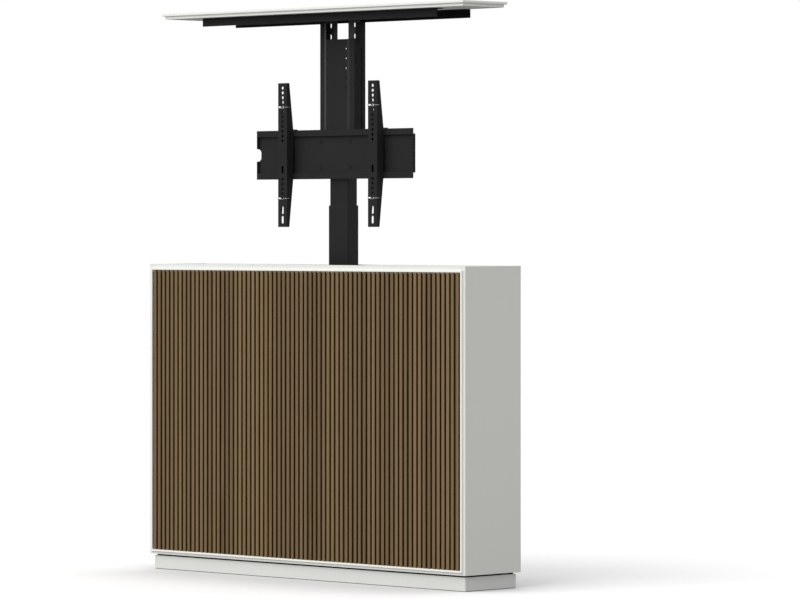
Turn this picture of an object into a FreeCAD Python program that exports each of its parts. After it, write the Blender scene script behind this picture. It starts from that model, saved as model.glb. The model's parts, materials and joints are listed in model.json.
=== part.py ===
import FreeCAD, Part
import os
import types
import Sketcher

# A slatted cabinet that hides a television on a motor lift. It is drawn raised: the lid stands
# on top of a three-stage column, and the television would hang on the two upright arms.
# Millimetres; X runs along the front, Y points to the wall, Z points up, floor at Z 0.

os.makedirs("parts", exist_ok=True)
doc = FreeCAD.newDocument("TvLiftCabinet")
sheet = doc.addObject("Spreadsheet::Sheet", "Dims")

# Driving dimensions: alias, value, meaning.
driving = [
    # carcass
    ("cabinet_width", 1400, "outside width"),
    ("cabinet_depth", 240, "carcass depth without the front trim"),
    ("cabinet_height", 970, "floor to carcass top"),
    ("board", 16, "side, bottom and plinth board thickness"),
    ("front_board", 12, "board behind the slats"),
    ("back_board", 12, "back panel thickness"),
    ("back_inset", 3, "back panel set in from the rear edges"),
    ("plinth_height", 48, "floor to carcass underside"),
    ("plinth_inset", 10.7, "plinth set back on all four sides"),
    ("top_rail_height", 24, "depth of the rails round the lid"),
    # slatted front
    ("trim_width", 6, "front face of the border strips"),
    ("trim_proud", 6, "border strips in front of the carcass edge"),
    ("trim_inset_side", 10, "border to the carcass side"),
    ("trim_inset_top", 13, "border to the carcass top"),
    ("trim_inset_bottom", 8.5, "border to the carcass underside"),
    ("slat_count", 69, "slats side by side"),
    ("slat_gap", 7, "groove between two slats"),
    ("slat_thickness", 5.5, "slat thickness"),
    ("slat_edge", 0.8, "bevel on the long slat edges"),
    ("slat_end_gap", 0.5, "slat ends to the border strips"),
    # levelling feet
    ("foot_radius", 20, "foot pad radius"),
    ("foot_pad_height", 8, "foot pad height"),
    ("foot_stem_radius", 5, "foot stem radius"),
    ("foot_inset_x", 90, "outer feet to the cabinet side"),
    ("foot_inset_y", 55, "feet to the cabinet front and back"),
    # lid
    ("lid_side_inset", 32, "lid edge to the cabinet side"),
    ("lid_front_inset", 22.5, "lid edge to the carcass front"),
    ("lid_rear_inset", 25.5, "lid edge to the carcass rear"),
    ("lid_lip", 8, "upper lid board thickness"),
    ("liner_thickness", 9, "lower lid board thickness"),
    ("liner_inset", 7, "lower lid board inside the upper one"),
    ("lid_gap", 2, "gap round the lid and round its lower board"),
    ("bumper_height", 1.5, "pads under the lid's lip"),
    ("bumper_length", 14, "pad length"),
    ("bumper_width", 4, "pad width"),
    ("bumper_inset", 60, "outer pads to the lid's end"),
    ("seat_gap", 0.3, "running clearance between moving faces"),
    # lift travel and column
    ("lift_travel", 794, "lid rise"),
    ("column_back", 177.5, "carcass front to the column axis"),
    ("foot_plate_width", 200, "column foot plate, along X"),
    ("foot_plate_depth", 90, "column foot plate, along Y"),
    ("foot_plate_thickness", 6, "column foot plate thickness"),
    ("foot_bolt_x", 82, "foot bolts to the column axis, along X"),
    ("foot_bolt_y", 34, "foot bolts to the column axis, along Y"),
    ("head_drop", 26.7, "head bracket top below the lid bracket foot"),
    ("inner_width", 80, "inner tube, along X"),
    ("inner_depth", 40, "inner tube, along Y"),
    ("tube_wall", 2.5, "wall of all three tubes"),
    ("tube_play", 0.5, "gap between nested tubes, each side"),
    ("tube_corner", 2, "outer corner radius of all three tubes"),
    ("tube_bore_corner", 1, "their inner corner radius"),
    ("glide_height", 6, "plastic glide rings on the tube ends"),
    ("stage_gap", 5.5, "lowered middle stage above the base ring"),
    ("head_gap", 1.5, "lowered head bracket above the middle ring"),
    # drive inside the column
    ("motor_radius", 21, "motor radius"),
    ("motor_length", 80, "motor length"),
    ("gearbox_width", 78, "gearbox, along X"),
    ("gearbox_depth", 40, "gearbox, along Y"),
    ("gearbox_height", 24, "gearbox height"),
    ("mid_floor_gap", 14, "lowered middle tube above the gearbox"),
    ("inner_floor_gap", 26, "inner tube foot above the middle tube foot"),
    ("nut_height", 15, "height of both spindle nuts"),
    ("nut_fit", 0.3, "nut outside to the tube wall inside"),
    ("lower_spindle_radius", 6, "lower spindle radius"),
    ("upper_spindle_radius", 10, "upper spindle outer radius"),
    ("upper_spindle_wall", 3.5, "upper spindle wall"),
    ("spindle_gap", 0.3, "spindle to nut and bearing, radially"),
    ("spindle_collar", 3, "spindle collar height"),
    ("collar_radius", 13, "spindle collar radius"),
    ("bearing_radius", 16, "bearing ring outer radius"),
    ("bearing_height", 6, "bearing ring height"),
    ("spindle_over", 10, "spindle ends above their nuts"),
    # rear bracket between the base tube and the back panel
    ("rear_bracket_height", 80, "rear bracket height"),
    ("rear_bracket_drop", 105, "rear bracket top below the base tube top"),
    ("rear_bracket_web", 86, "rear bracket against the tube"),
    ("rear_bracket_width", 150, "rear bracket over its flanges"),
    ("bracket_sheet", 3, "sheet of the rear, head and lid brackets"),
    # mast
    ("mast_width", 156, "mast channel width"),
    ("mast_sheet", 2, "mast sheet"),
    ("mast_front_back", 149, "carcass front to the mast side bands"),
    ("mast_flange", 47, "mast channel depth behind the side bands"),
    ("mast_bend", 1, "inner ease of the mast channel's bent corners"),
    ("mast_lip", 21, "return lips along its rear edges"),
    ("mast_rib_width", 93, "raised rib face width"),
    ("mast_rib_flank", 9.5, "sloped flanks of the rib"),
    ("mast_rib_proud", 2, "raised rib in front of the side bands"),
    ("mast_length", 480, "mast length below the lid rails"),
    ("mast_window", 52, "front web open under the lid rails, right of the left flank"),
    ("mast_window_depth", 5, "right flange front edge behind the side band there"),
    ("rib_hole_radius", 2.5, "small holes in the rib"),
    ("rib_hole_x", 41.8, "rib holes to the mast centre"),
    ("rib_hole_pitch", 30.4, "rib hole pitch"),
    ("rib_hole_drop", 81.7, "top rib hole below the mast top"),
    ("rib_hole_rows", 5, "rows of rib holes"),
    ("side_slot_pitch", 65.6, "short slots in the mast flanges"),
    ("side_slot_length", 32, "short slot length"),
    ("side_slot_width", 3, "short slot width"),
    ("side_slot_inset", 4.9, "short slots behind the side bands"),
    ("side_slot_drop", 116, "top short slot below the mast top"),
    ("side_slot_count", 4, "short slots in each flange"),
    ("seam_width", 3.5, "long adjusting slot in each flange"),
    ("seam_inset", 29.8, "long slot behind the side bands"),
    ("seam_drop", 79, "long slot top below the mast top"),
    ("seam_lift", 22, "long slot foot above the mast foot"),
    # head bracket
    ("head_plate", 6, "plate on the inner tube"),
    ("head_height", 76, "head bracket height"),
    ("head_shoulder", 36, "head bracket height behind its front horns"),
    ("head_horn", 18, "head bracket horns, along Y"),
    ("head_flange", 4, "head bracket flange thickness"),
    ("side_bolt_radius", 3, "bolts through the mast flanges"),
    ("side_bolt_head", 5.5, "their head radius"),
    ("side_bolt_head_height", 2, "their head height"),
    ("side_bolt_spread", 27, "their spacing along Y"),
    ("bolt_play", 0.3, "bolt holes over the bolt radius"),
    ("bolt_tip", 2, "bolt ends past the last sheet, or short of the board's face"),
    # cross plate
    ("plate_length", 693, "cross plate length"),
    ("plate_height", 153, "cross plate height"),
    ("plate_depth", 15, "cross plate depth"),
    ("plate_sheet", 2.5, "cross plate sheet"),
    ("plate_band", 19.5, "stepped bands along its top and bottom"),
    ("plate_step", 9, "middle panel behind those bands"),
    ("flange_short", 16, "flanges behind the bands end short of them"),
    ("plate_overhang", 5, "cross plate foot below the mast foot"),
    ("notch_depth", 11, "cable notch depth in the left end"),
    ("notch_mouth", 43, "cable notch height at the end"),
    ("notch_floor", 22, "cable notch height at its floor"),
    ("spacer_radius", 8, "spacers between cross plate and mast"),
    ("spacer_x", 65, "spacers to the mast centre"),
    ("spacer_spread", 80, "upper to lower spacers"),
    ("plate_bolt_radius", 4, "bolts through the spacers"),
    ("plate_bolt_head", 7, "their head radius"),
    ("plate_bolt_head_height", 1.5, "their head height"),
    # television arms
    ("arm_spacing", 400, "hole columns of the two arms"),
    ("arm_width", 40, "arm width"),
    ("arm_height", 449.5, "arm height"),
    ("arm_sheet", 2, "arm sheet"),
    ("arm_end_depth", 11, "arm depth at its tips"),
    ("arm_reach", 28, "arm face in front of the cross plate"),
    ("arm_below", 149, "arm foot below the cross plate foot"),
    ("hook_rise", 3, "hook above the cross plate"),
    ("hook_drop", 14, "hook finger behind the cross plate"),
    ("hook_thickness", 3, "hook finger thickness"),
    ("arm_hole_radius", 4.8, "television bolt holes"),
    ("arm_hole_pitch", 15, "hole pitch"),
    ("arm_hole_drop", 15.3, "top hole below the arm tip"),
    ("arm_high_count", 12, "holes in the upper group"),
    ("arm_low_count", 5, "holes in the lower group"),
    ("television_rise", 300, "upper to lower television bolts"),
    ("arm_slot_length", 24, "slot length"),
    ("arm_slot_drop", 270.3, "middle slot below the arm tip"),
    ("foot_slot_lift", 22.5, "lowest slot above the arm foot"),
    ("foot_slot_pitch", 30, "pitch of the two lowest slots"),
    ("latch_thickness", 5, "latch bar thickness"),
    ("latch_height", 20, "latch bar height"),
    ("latch_back", 14, "latch bar behind the arm face"),
    ("latch_screw_radius", 3, "latch screw radius"),
    ("latch_head_radius", 6, "latch screw head radius"),
    ("latch_head_height", 4, "latch screw head height"),
    ("clip_height", 5.5, "spring clip height left of its hole"),
    ("clip_wire", 2, "spring clip height over and right of its hole"),
    ("clip_hole", 4, "spring clips sit on this hole of each group, from 0"),
    ("clip_sheet", 1.2, "spring clip sheet"),
    ("clip_depth", 9, "spring clip legs"),
    # lid bracket and rails
    ("rail_length", 1040, "lid rail length"),
    ("rail_height", 26.3, "lid rail upright leg"),
    ("rail_leg", 25, "lid rail flat leg"),
    ("rail_sheet", 3, "lid rail sheet"),
    ("rail_front_inset", 39.5, "front rail behind the lid's front edge"),
    ("carrier_web_back", 24.5, "lid bracket web behind the mast side bands"),
    ("carrier_drop", 66, "lid bracket foot below the rails"),
    ("carrier_flange", 16, "lid bracket side flanges in front of its web"),
    ("carrier_window", 50, "lid bracket window width"),
    ("carrier_window_foot", 53, "lid bracket window foot below the rails"),
    ("carrier_slot_x", 53, "lid bracket slots to the centre"),
    ("carrier_slot_width", 8.5, "lid bracket slot width"),
    ("carrier_slot_length", 15, "lid bracket slot length"),
    ("carrier_slot_pitch", 35, "lid bracket slot pitch"),
    ("carrier_slot_drop", 7.5, "upper slots below the rails"),
    ("rail_screw_count", 6, "screws in each rail"),
    ("rail_screw_inset", 30, "outer rail screws to the rail end"),
    ("rail_screw_radius", 2, "rail screw radius"),
    ("rail_screw_head", 4, "rail screw head radius"),
    ("rail_screw_head_height", 2, "rail screw head height"),
    ("rail_screw_bite", 6, "rail screws in the lid"),
    ("carrier_bolt_x", 50, "lid bracket bolts to the centre"),
    # back panel, outlet and electrics
    ("panel_screw_count", 6, "screws along each panel edge"),
    ("panel_screw_inset", 64, "outer panel screws to the board end"),
    ("panel_screw_radius", 2, "panel screw radius"),
    ("panel_screw_head", 4, "panel screw head radius"),
    ("panel_screw_head_height", 2, "panel screw head height"),
    ("panel_screw_bite", 9, "panel screws in the board behind"),
    ("outlet_radius", 30, "cable outlet hole radius"),
    ("outlet_bore", 25, "free radius of the cable outlet"),
    ("outlet_flange", 34, "outlet collar radius"),
    ("outlet_flange_thickness", 2, "outlet collar thickness"),
    ("outlet_inset", 250, "cable outlet to the cabinet side"),
    ("outlet_lift", 60, "cable outlet above the bottom board"),
    ("control_length", 190, "control box, along X"),
    ("control_depth", 60, "control box, along Y"),
    ("control_height", 38, "control box height"),
    ("control_inset", 180, "control box to the cabinet side"),
    ("control_back_gap", 8, "control box to the back panel"),
    ("inlet_length", 12, "power inlet in front of the control box"),
    ("inlet_width", 26, "power inlet width"),
    ("inlet_height", 18, "power inlet height"),
    ("inlet_wall", 5, "power inlet wall"),
    ("inlet_hollow", 9, "power inlet hollow depth"),
]


class Size:
    # A number that also carries the spreadsheet expression it comes from.

    def __init__(self, value, text):
        self.value = float(value)
        self.text = text

    def __add__(self, other):
        other = as_size(other)
        return Size(self.value + other.value, f"({self.text} + {other.text})")

    def __sub__(self, other):
        other = as_size(other)
        return Size(self.value - other.value, f"({self.text} - {other.text})")

    def __mul__(self, other):
        other = as_size(other)
        return Size(self.value * other.value, f"({self.text} * {other.text})")

    def __truediv__(self, other):
        other = as_size(other)
        return Size(self.value / other.value, f"({self.text} / {other.text})")

    def __radd__(self, other):
        return as_size(other) + self

    def __rsub__(self, other):
        return as_size(other) - self

    def __rmul__(self, other):
        return as_size(other) * self

    def __neg__(self):
        return Size(-self.value, f"(0 - {self.text})")


def as_size(number):
    return number if isinstance(number, Size) else Size(number, repr(number))


for row, (alias, value, meaning) in enumerate(driving, start=1):
    sheet.set(f"A{row}", meaning)
    sheet.set(f"B{row}", str(value))
    sheet.setAlias(f"B{row}", alias)
doc.recompute()
d = types.SimpleNamespace(**{alias: Size(value, f"Dims.{alias}") for alias, value, _ in driving})
nodes = {}
cutters = []


# ---- small builders -------------------------------------------------------------------

def bind(obj, name, size):
    obj.setExpression(name, as_size(size).text)


def place(obj, x, y, z):
    for axis, size in zip("xyz", (x, y, z)):
        bind(obj, "Placement.Base." + axis, size)


def node(name, obj):
    # Names the finished sub-part; its Label is its file name.
    obj.Label = name
    nodes[name] = obj
    return obj


def box(name, x, y, z):
    # x, y and z are pairs: low and high.
    obj = doc.addObject("Part::Box", name)
    for side, (low, high) in zip(("Length", "Width", "Height"), (x, y, z)):
        bind(obj, side, high - low)
    place(obj, x[0], y[0], z[0])
    return obj


turns = {
    "x": FreeCAD.Rotation(FreeCAD.Vector(0, 1, 0), 90),
    "y": FreeCAD.Rotation(FreeCAD.Vector(1, 0, 0), -90),
    "z": FreeCAD.Rotation(),
}


def rod(name, at, axis, radius, low, high):
    # A cylinder along an axis, from low to high past the point at.
    obj = doc.addObject("Part::Cylinder", name)
    obj.Placement = FreeCAD.Placement(FreeCAD.Vector(), turns[axis])
    bind(obj, "Radius", radius)
    bind(obj, "Height", high - low)
    start = [size + low if letter == axis else size for letter, size in zip("xyz", at)]
    place(obj, *start)
    return obj


def group(name, members):
    obj = doc.addObject("Part::Compound", name)
    obj.Links = members
    return obj


def fuse(name, members):
    obj = doc.addObject("Part::MultiFuse", name)
    obj.Shapes = members
    obj.Refine = True
    return obj


def cut(name, base, tools):
    obj = doc.addObject("Part::Cut", name)
    obj.Base = base
    obj.Tool = tools[0] if len(tools) == 1 else group(name + "Tools", tools)
    obj.Refine = True
    cutters.append((obj, base))
    return obj


def bolt(name, at, axis, side, head_radius, head_height, radius, length):
    # Round head on the seat point, shank the other way; side is +1 or -1 along the axis.
    if side > 0:
        head = rod(name + "Head", at, axis, head_radius, as_size(0), head_height)
        shank = rod(name + "Shank", at, axis, radius, -length, as_size(0))
    else:
        head = rod(name + "Head", at, axis, head_radius, -head_height, as_size(0))
        shank = rod(name + "Shank", at, axis, radius, as_size(0), length)
    return fuse(name, [head, shank])


def origin_plane(body, role):
    return next(plane for plane in body.Origin.OriginFeatures if plane.Role == role)


def new_sketch(body, name, role):
    sketch = body.newObject("Sketcher::SketchObject", name)
    sketch.AttachmentSupport = [(origin_plane(body, role), "")]
    sketch.MapMode = "FlatFace"
    return sketch


def fix_point(sketch, geometry, end, point):
    # Holds one point of the sketch at its sizes from the sketch origin.
    for kind, size in zip(("DistanceX", "DistanceY"), point):
        size = as_size(size)
        index = sketch.addConstraint(Sketcher.Constraint(kind, -1, 1, geometry, end, size.value))
        sketch.setExpression(f"Constraints[{index}]", size.text)


def polygon(sketch, points):
    corners = [FreeCAD.Vector(as_size(u).value, as_size(v).value, 0) for u, v in points]
    first = sketch.GeometryCount
    count = len(corners)
    for index, corner in enumerate(corners):
        sketch.addGeometry(Part.LineSegment(corner, corners[(index + 1) % count]), False)
    for index in range(count):
        after = first + (index + 1) % count
        sketch.addConstraint(Sketcher.Constraint("Coincident", first + index, 2, after, 1))
    for index, point in enumerate(points):
        fix_point(sketch, first + index, 1, point)


def pad(body, sketch, length):
    obj = body.newObject("PartDesign::Pad", sketch.Name + "Pad")
    obj.Profile = sketch
    bind(obj, "Length", length)
    return obj


def profile_body(name, role, points, length, at):
    # A straight bar: a closed outline on one origin plane, padded along that plane's normal.
    body = doc.addObject("PartDesign::Body", name)
    sketch = new_sketch(body, name + "Outline", role)
    polygon(sketch, points)
    pad(body, sketch, length)
    place(body, *at)
    return body


def circle(sketch, radius):
    radius = as_size(radius)
    middle = FreeCAD.Vector()
    line = sketch.addGeometry(Part.Circle(middle, FreeCAD.Vector(0, 0, 1), radius.value), False)
    sketch.addConstraint(Sketcher.Constraint("Coincident", line, 3, -1, 1))
    index = sketch.addConstraint(Sketcher.Constraint("Radius", line, radius.value))
    sketch.setExpression(f"Constraints[{index}]", radius.text)


def repeat(body, originals, axis, pitch, count):
    # A row of separate copies along the sketch's H_Axis or V_Axis.
    body.AllowCompound = True
    row = body.newObject("PartDesign::LinearPattern", body.Name + "Row")
    row.Originals = originals
    row.Direction = (originals[0].Profile[0], [axis])
    row.Mode = "Spacing"
    bind(row, "Offset", pitch)
    bind(row, "Occurrences", count)
    body.Tip = row
    return body


def hole_row(name, role, at, radius, reach, axis, pitch, count):
    # Cutting pins through a sheet, as far as reach to both sides of it.
    body = doc.addObject("PartDesign::Body", name)
    sketch = new_sketch(body, name + "Circle", role)
    circle(sketch, radius)
    pins = pad(body, sketch, 2 * reach)
    pins.SideType = "Symmetric"
    place(body, *at)
    return repeat(body, [pins], axis, pitch, count)


def screw_row(name, role, at, screw, axis, pitch, count):
    # Round-headed screws; each shank runs along the plane's normal, each head against it.
    head_radius, head_height, radius, length = screw
    body = doc.addObject("PartDesign::Body", name)
    head_sketch = new_sketch(body, name + "Head", role)
    circle(head_sketch, head_radius)
    head = pad(body, head_sketch, head_height)
    head.Reversed = True
    shank_sketch = new_sketch(body, name + "Shank", role)
    circle(shank_sketch, radius)
    shank = pad(body, shank_sketch, length)
    place(body, *at)
    return repeat(body, [head, shank], axis, pitch, count)


def rounded_bar(name, width, depth, corner, low, high):
    # An upright bar round the column axis with four rounded corners.
    body = doc.addObject("PartDesign::Body", name)
    sketch = new_sketch(body, name + "Outline", "XY_Plane")
    half_x, half_y = width / 2, depth / 2
    polygon(sketch, [(-half_x, -half_y), (half_x, -half_y), (half_x, half_y), (-half_x, half_y)])
    block = pad(body, sketch, high - low)
    doc.recompute()
    upright = [
        f"Edge{index}"
        for index, edge in enumerate(block.Shape.Edges, start=1)
        if abs(edge.tangentAt(edge.FirstParameter).z) > 0.9
    ]
    fillet = body.newObject("PartDesign::Fillet", name + "Corners")
    fillet.Base = (block, upright)
    bind(fillet, "Radius", corner)
    place(body, as_size(0), column_y, low)
    return body


def rounded_tube(name, width, depth, corner, bore_width, bore_depth, bore_corner, low, high):
    outside = rounded_bar(name + "Outside", width, depth, corner, low, high)
    inside = rounded_bar(name + "Inside", bore_width, bore_depth, bore_corner, low, high)
    return cut(name, outside, [inside])


def slot(name, x, y, z, along, half_width, length, low, high):
    # A round-ended slot through Y, standing upright, from low to high past y.
    reach = length / 2 - half_width
    at_top = (x, y, z + reach)
    at_foot = (x, y, z - reach)
    ends = [
        rod(name + "Top", at_top, along, half_width, low, high),
        rod(name + "Foot", at_foot, along, half_width, low, high),
    ]
    middle = box(
        name + "Middle",
        (x - half_width, x + half_width),
        (y + low, y + high),
        (z - reach, z + reach),
    )
    return fuse(name, ends + [middle])


# ---- planes that several pieces share ---------------------------------------------------

half_width = d.cabinet_width / 2
side_in = half_width - d.board
front = (d.trim_proud - d.cabinet_depth) / 2
rear = front + d.cabinet_depth
back_out = rear - d.back_inset
back_in = back_out - d.back_board
underside = d.plinth_height
deck = d.plinth_height + d.board
top = d.cabinet_height
rail_foot = top - d.top_rail_height

lid_x = half_width - d.lid_side_inset
lid_y = (front + d.lid_front_inset, rear - d.lid_rear_inset)
liner_x = lid_x - d.liner_inset
liner_y = (lid_y[0] + d.liner_inset, lid_y[1] - d.liner_inset)
mouth_x = liner_x + d.lid_gap
mouth_y = (liner_y[0] - d.lid_gap, liner_y[1] + d.lid_gap)
ledge = top - d.lid_lip - d.seat_gap - d.bumper_height

column_y = front + d.column_back
stroke = d.lift_travel / 2

lid_low = top + d.lift_travel - d.lid_lip
liner_low = lid_low - d.liner_thickness
rails_low = liner_low - d.rail_height
mast_y = front + d.mast_front_back
mast_x = d.mast_width / 2
mast_foot = rails_low - d.mast_length
mast_rear = mast_y + d.mast_flange
web_top = rails_low - d.mast_window
plate_foot = mast_foot - d.plate_overhang
plate_top = plate_foot + d.plate_height
plate_y = mast_y - d.plate_depth
panel_y = plate_y + d.plate_step
plate_mid = plate_foot + d.plate_height / 2
carrier_foot = rails_low - d.carrier_drop


def span(half):
    return (-half, half)


def mirrored(points):
    # The same outline points on the other side of X = 0, in the opposite order.
    return [(-x, y) for x, y in reversed(points)]


# ---- carcass ----------------------------------------------------------------------------

def lid_recess(name):
    # The space that the lid's upper board takes when it is down.
    return box(
        name,
        span(lid_x + d.lid_gap),
        (lid_y[0] - d.lid_gap, lid_y[1] + d.lid_gap),
        (ledge, top + d.board),
    )


def build_panel_screws():
    # Two rows through the back panel, and four screws through the rear bracket's flanges.
    screw = (d.panel_screw_head, d.panel_screw_head_height, d.panel_screw_radius,
             d.back_board + d.panel_screw_bite)
    hole = d.panel_screw_radius + d.bolt_play
    reach = side_in - d.panel_screw_inset
    pitch = 2 * reach / (d.panel_screw_count - 1)
    screws, bores = [], []
    for name, height in (("Deck", underside + d.board / 2), ("Rail", (rail_foot + ledge) / 2)):
        at = (-reach, back_out, height)
        screws.append(screw_row("Screws" + name, "XZ_Plane", at, screw, "H_Axis", pitch,
                                d.panel_screw_count))
        bores.append(hole_row("Bores" + name, "XZ_Plane", at, hole,
                              d.back_board + d.panel_screw_bite, "H_Axis", pitch,
                              d.panel_screw_count))
    bracket_bores = []
    bracket_x = (d.rear_bracket_width + d.rear_bracket_web) / 4
    middle = bracket_top - d.rear_bracket_height / 2
    for column in (-1, 1):
        for level in (-1, 1):
            height = middle + d.rear_bracket_height / 4 * level
            at = (bracket_x * column, back_in - d.bracket_sheet, height)
            name = f"BracketScrew{column + 1}{level + 1}"
            screws.append(bolt(name, at, "y", -1, d.panel_screw_head, d.panel_screw_head_height,
                               d.panel_screw_radius, d.panel_screw_bite))
            bracket_bores.append(rod(name + "Bore", at, "y", hole, -d.bracket_sheet,
                                     d.panel_screw_bite))
    node("panel_screws", group("PanelScrews", screws))
    return bores, bracket_bores


def foot_bolt_places():
    return [
        (d.foot_bolt_x * column, column_y + d.foot_bolt_y * row, deck + d.foot_plate_thickness)
        for column in (-1, 1)
        for row in (-1, 1)
    ]


def build_carcass(bores, bracket_bores):
    full_y = (front, rear)
    for name, sign in (("side_panel_left", -1), ("side_panel_right", 1)):
        x = (-half_width, -side_in) if sign < 0 else (side_in, half_width)
        node(name, box(name, x, full_y, (underside, top)))

    bottom = box("BottomBoard", span(side_in), (front, back_in), (underside, deck))
    foot_bores = [
        rod(f"FootBore{index}", at, "z", plate_bolt_hole, -foot_bolt_length, d.board)
        for index, at in enumerate(foot_bolt_places())
    ]
    node("bottom_panel", cut("BottomPanel", bottom, [bores[0]] + foot_bores))

    back = box("BackBoard", span(side_in), (back_in, back_out), (underside, top))
    outlet = rod("OutletHole", outlet_at, "y", d.outlet_radius, -d.back_board, d.board)
    node("back_panel", cut("BackPanel", back, bores + bracket_bores + [outlet]))

    backing_y = (front, front + d.front_board)
    node("front_backing_board", box("FrontBacking", span(side_in), backing_y, (deck, rail_foot)))

    rail_z = (rail_foot, top)
    rail = box("FrontRailBoard", span(side_in), (front, mouth_y[0]), rail_z)
    node("top_rail_front", cut("TopRailFront", rail, [lid_recess("FrontRecess")]))
    rail = box("RearRailBoard", span(side_in), (mouth_y[1], back_in), rail_z)
    rail = cut("RearRailRebated", rail, [lid_recess("RearRecess")])
    node("top_rail_rear", cut("TopRailRear", rail, [bores[1]]))
    for name, x in (("left", (-side_in, -mouth_x)), ("right", (mouth_x, side_in))):
        rail = box(f"EndRail_{name}", x, mouth_y, rail_z)
        recess = lid_recess(f"EndRecess_{name}")
        node(f"top_rail_{name}", cut(f"TopRail_{name}", rail, [recess]))


def build_plinth():
    x = half_width - d.plinth_inset
    y = (front + d.plinth_inset, rear - d.plinth_inset)
    z = (as_size(0), underside)
    node("plinth_front", box("PlinthFront", span(x), (y[0], y[0] + d.board), z))
    node("plinth_rear", box("PlinthRear", span(x), (y[1] - d.board, y[1]), z))
    between = (y[0] + d.board, y[1] - d.board)
    node("plinth_left", box("PlinthLeft", (-x, d.board - x), between, z))
    node("plinth_right", box("PlinthRight", (x - d.board, x), between, z))


def build_feet():
    feet = []
    reach = half_width - d.foot_inset_x
    for column in (-1, 0, 1):
        for row, y in enumerate((front + d.foot_inset_y, rear - d.foot_inset_y)):
            name = f"Foot{column + 1}{row}"
            at = (reach * column, y, as_size(0))
            foot = rod(name + "Pad", at, "z", d.foot_radius, as_size(0), d.foot_pad_height)
            stem = rod(name + "Stem", at, "z", d.foot_stem_radius, as_size(0), underside)
            feet.append(fuse(name, [foot, stem]))
    node("leveling_feet", group("LevelingFeet", feet))


def build_slats():
    field = d.cabinet_width - 2 * (d.trim_inset_side + d.trim_width)
    width = (field - d.slat_gap * (d.slat_count + 1)) / d.slat_count
    foot = underside + d.trim_inset_bottom + d.trim_width + d.slat_end_gap
    head = top - d.trim_inset_top - d.trim_width - d.slat_end_gap
    face = -d.slat_thickness
    outline = [
        (as_size(0), as_size(0)),
        (as_size(0), face + d.slat_edge),
        (d.slat_edge, face),
        (width - d.slat_edge, face),
        (width, face + d.slat_edge),
        (width, as_size(0)),
    ]
    at = (d.slat_gap - field / 2, front, foot)
    body = profile_body("FrontSlats", "XY_Plane", outline, head - foot, at)
    node("front_slats", repeat(body, [body.Tip], "H_Axis", width + d.slat_gap, d.slat_count))


def build_trim():
    # Four border strips, mitred at the corners.
    x = half_width - d.trim_inset_side
    foot = underside + d.trim_inset_bottom
    head = top - d.trim_inset_top
    inner_x = x - d.trim_width
    inner_foot = foot + d.trim_width
    inner_head = head - d.trim_width
    outlines = {
        "trim_left": [(-x, foot), (-inner_x, inner_foot), (-inner_x, inner_head), (-x, head)],
        "trim_right": [(x, foot), (inner_x, inner_foot), (inner_x, inner_head), (x, head)],
        "trim_bottom": [(-x, foot), (x, foot), (inner_x, inner_foot), (-inner_x, inner_foot)],
        "trim_top": [(-x, head), (x, head), (inner_x, inner_head), (-inner_x, inner_head)],
    }
    at = (as_size(0), front, as_size(0))
    for name, outline in outlines.items():
        node(name, profile_body(name, "XZ_Plane", outline, d.trim_proud, at))


def build_bumpers():
    # Pads on the ledge, just inside the lid's outer edge.
    pads = []
    reach = lid_x - d.bumper_inset
    edge = (d.liner_inset - d.lid_gap - d.bumper_width) / 2
    rows = {
        "Front": (lid_y[0] + edge, lid_y[0] + edge + d.bumper_width),
        "Rear": (lid_y[1] - edge - d.bumper_width, lid_y[1] - edge),
    }
    for row, y in rows.items():
        for column in (-1, 0, 1):
            middle = reach * column
            x = (middle - d.bumper_length / 2, middle + d.bumper_length / 2)
            pads.append(box(f"Bumper{row}{column + 1}", x, y, (ledge, ledge + d.bumper_height)))
    node("lid_bumpers", group("LidBumpers", pads))


# ---- cable outlet and electrics ------------------------------------------------------------

outlet_at = (half_width - d.outlet_inset, back_out, deck + d.outlet_lift)


def build_outlet():
    # A plastic sleeve in the back panel with a thin collar outside.
    sleeve_radius = d.outlet_radius - d.bolt_play
    sleeve = rod("OutletSleeve", outlet_at, "y", sleeve_radius, -d.back_board, as_size(0))
    collar = rod("OutletCollar", outlet_at, "y", d.outlet_flange, as_size(0),
                 d.outlet_flange_thickness)
    bore = rod("OutletBore", outlet_at, "y", d.outlet_bore, -d.back_board, d.board)
    ring = fuse("OutletRing", [sleeve, collar])
    node("cable_grommet", cut("CableGrommet", ring, [bore]))


def build_electrics():
    outer_end = d.control_inset - half_width
    x = (outer_end, outer_end + d.control_length)
    y = (back_in - d.control_back_gap - d.control_depth, back_in - d.control_back_gap)
    node("control_box", box("ControlBox", x, y, (deck, deck + d.control_height)))
    middle_y = (y[0] + y[1]) / 2
    inlet_y = (middle_y - d.inlet_width / 2, middle_y + d.inlet_width / 2)
    inlet_foot = deck + (d.control_height - d.inlet_height) / 2
    inlet_z = (inlet_foot, inlet_foot + d.inlet_height)
    shell = box("InletShell", (x[0] - d.inlet_length, x[0]), inlet_y, inlet_z)
    hollow = box(
        "InletHollow",
        (x[0] - d.inlet_length, x[0] - d.inlet_length + d.inlet_hollow),
        (inlet_y[0] + d.inlet_wall, inlet_y[1] - d.inlet_wall),
        (inlet_z[0] + d.inlet_wall, inlet_z[1] - d.inlet_wall),
    )
    node("power_inlet", cut("PowerInlet", shell, [hollow]))


# ---- column -----------------------------------------------------------------------------

plate_bolt_hole = d.plate_bolt_radius + d.bolt_play
foot_bolt_length = d.foot_plate_thickness + d.board - d.bolt_tip
step = 2 * (d.tube_wall + d.tube_play)
mid_width = d.inner_width + step
mid_depth = d.inner_depth + step
base_width = mid_width + step
base_depth = mid_depth + step

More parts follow.
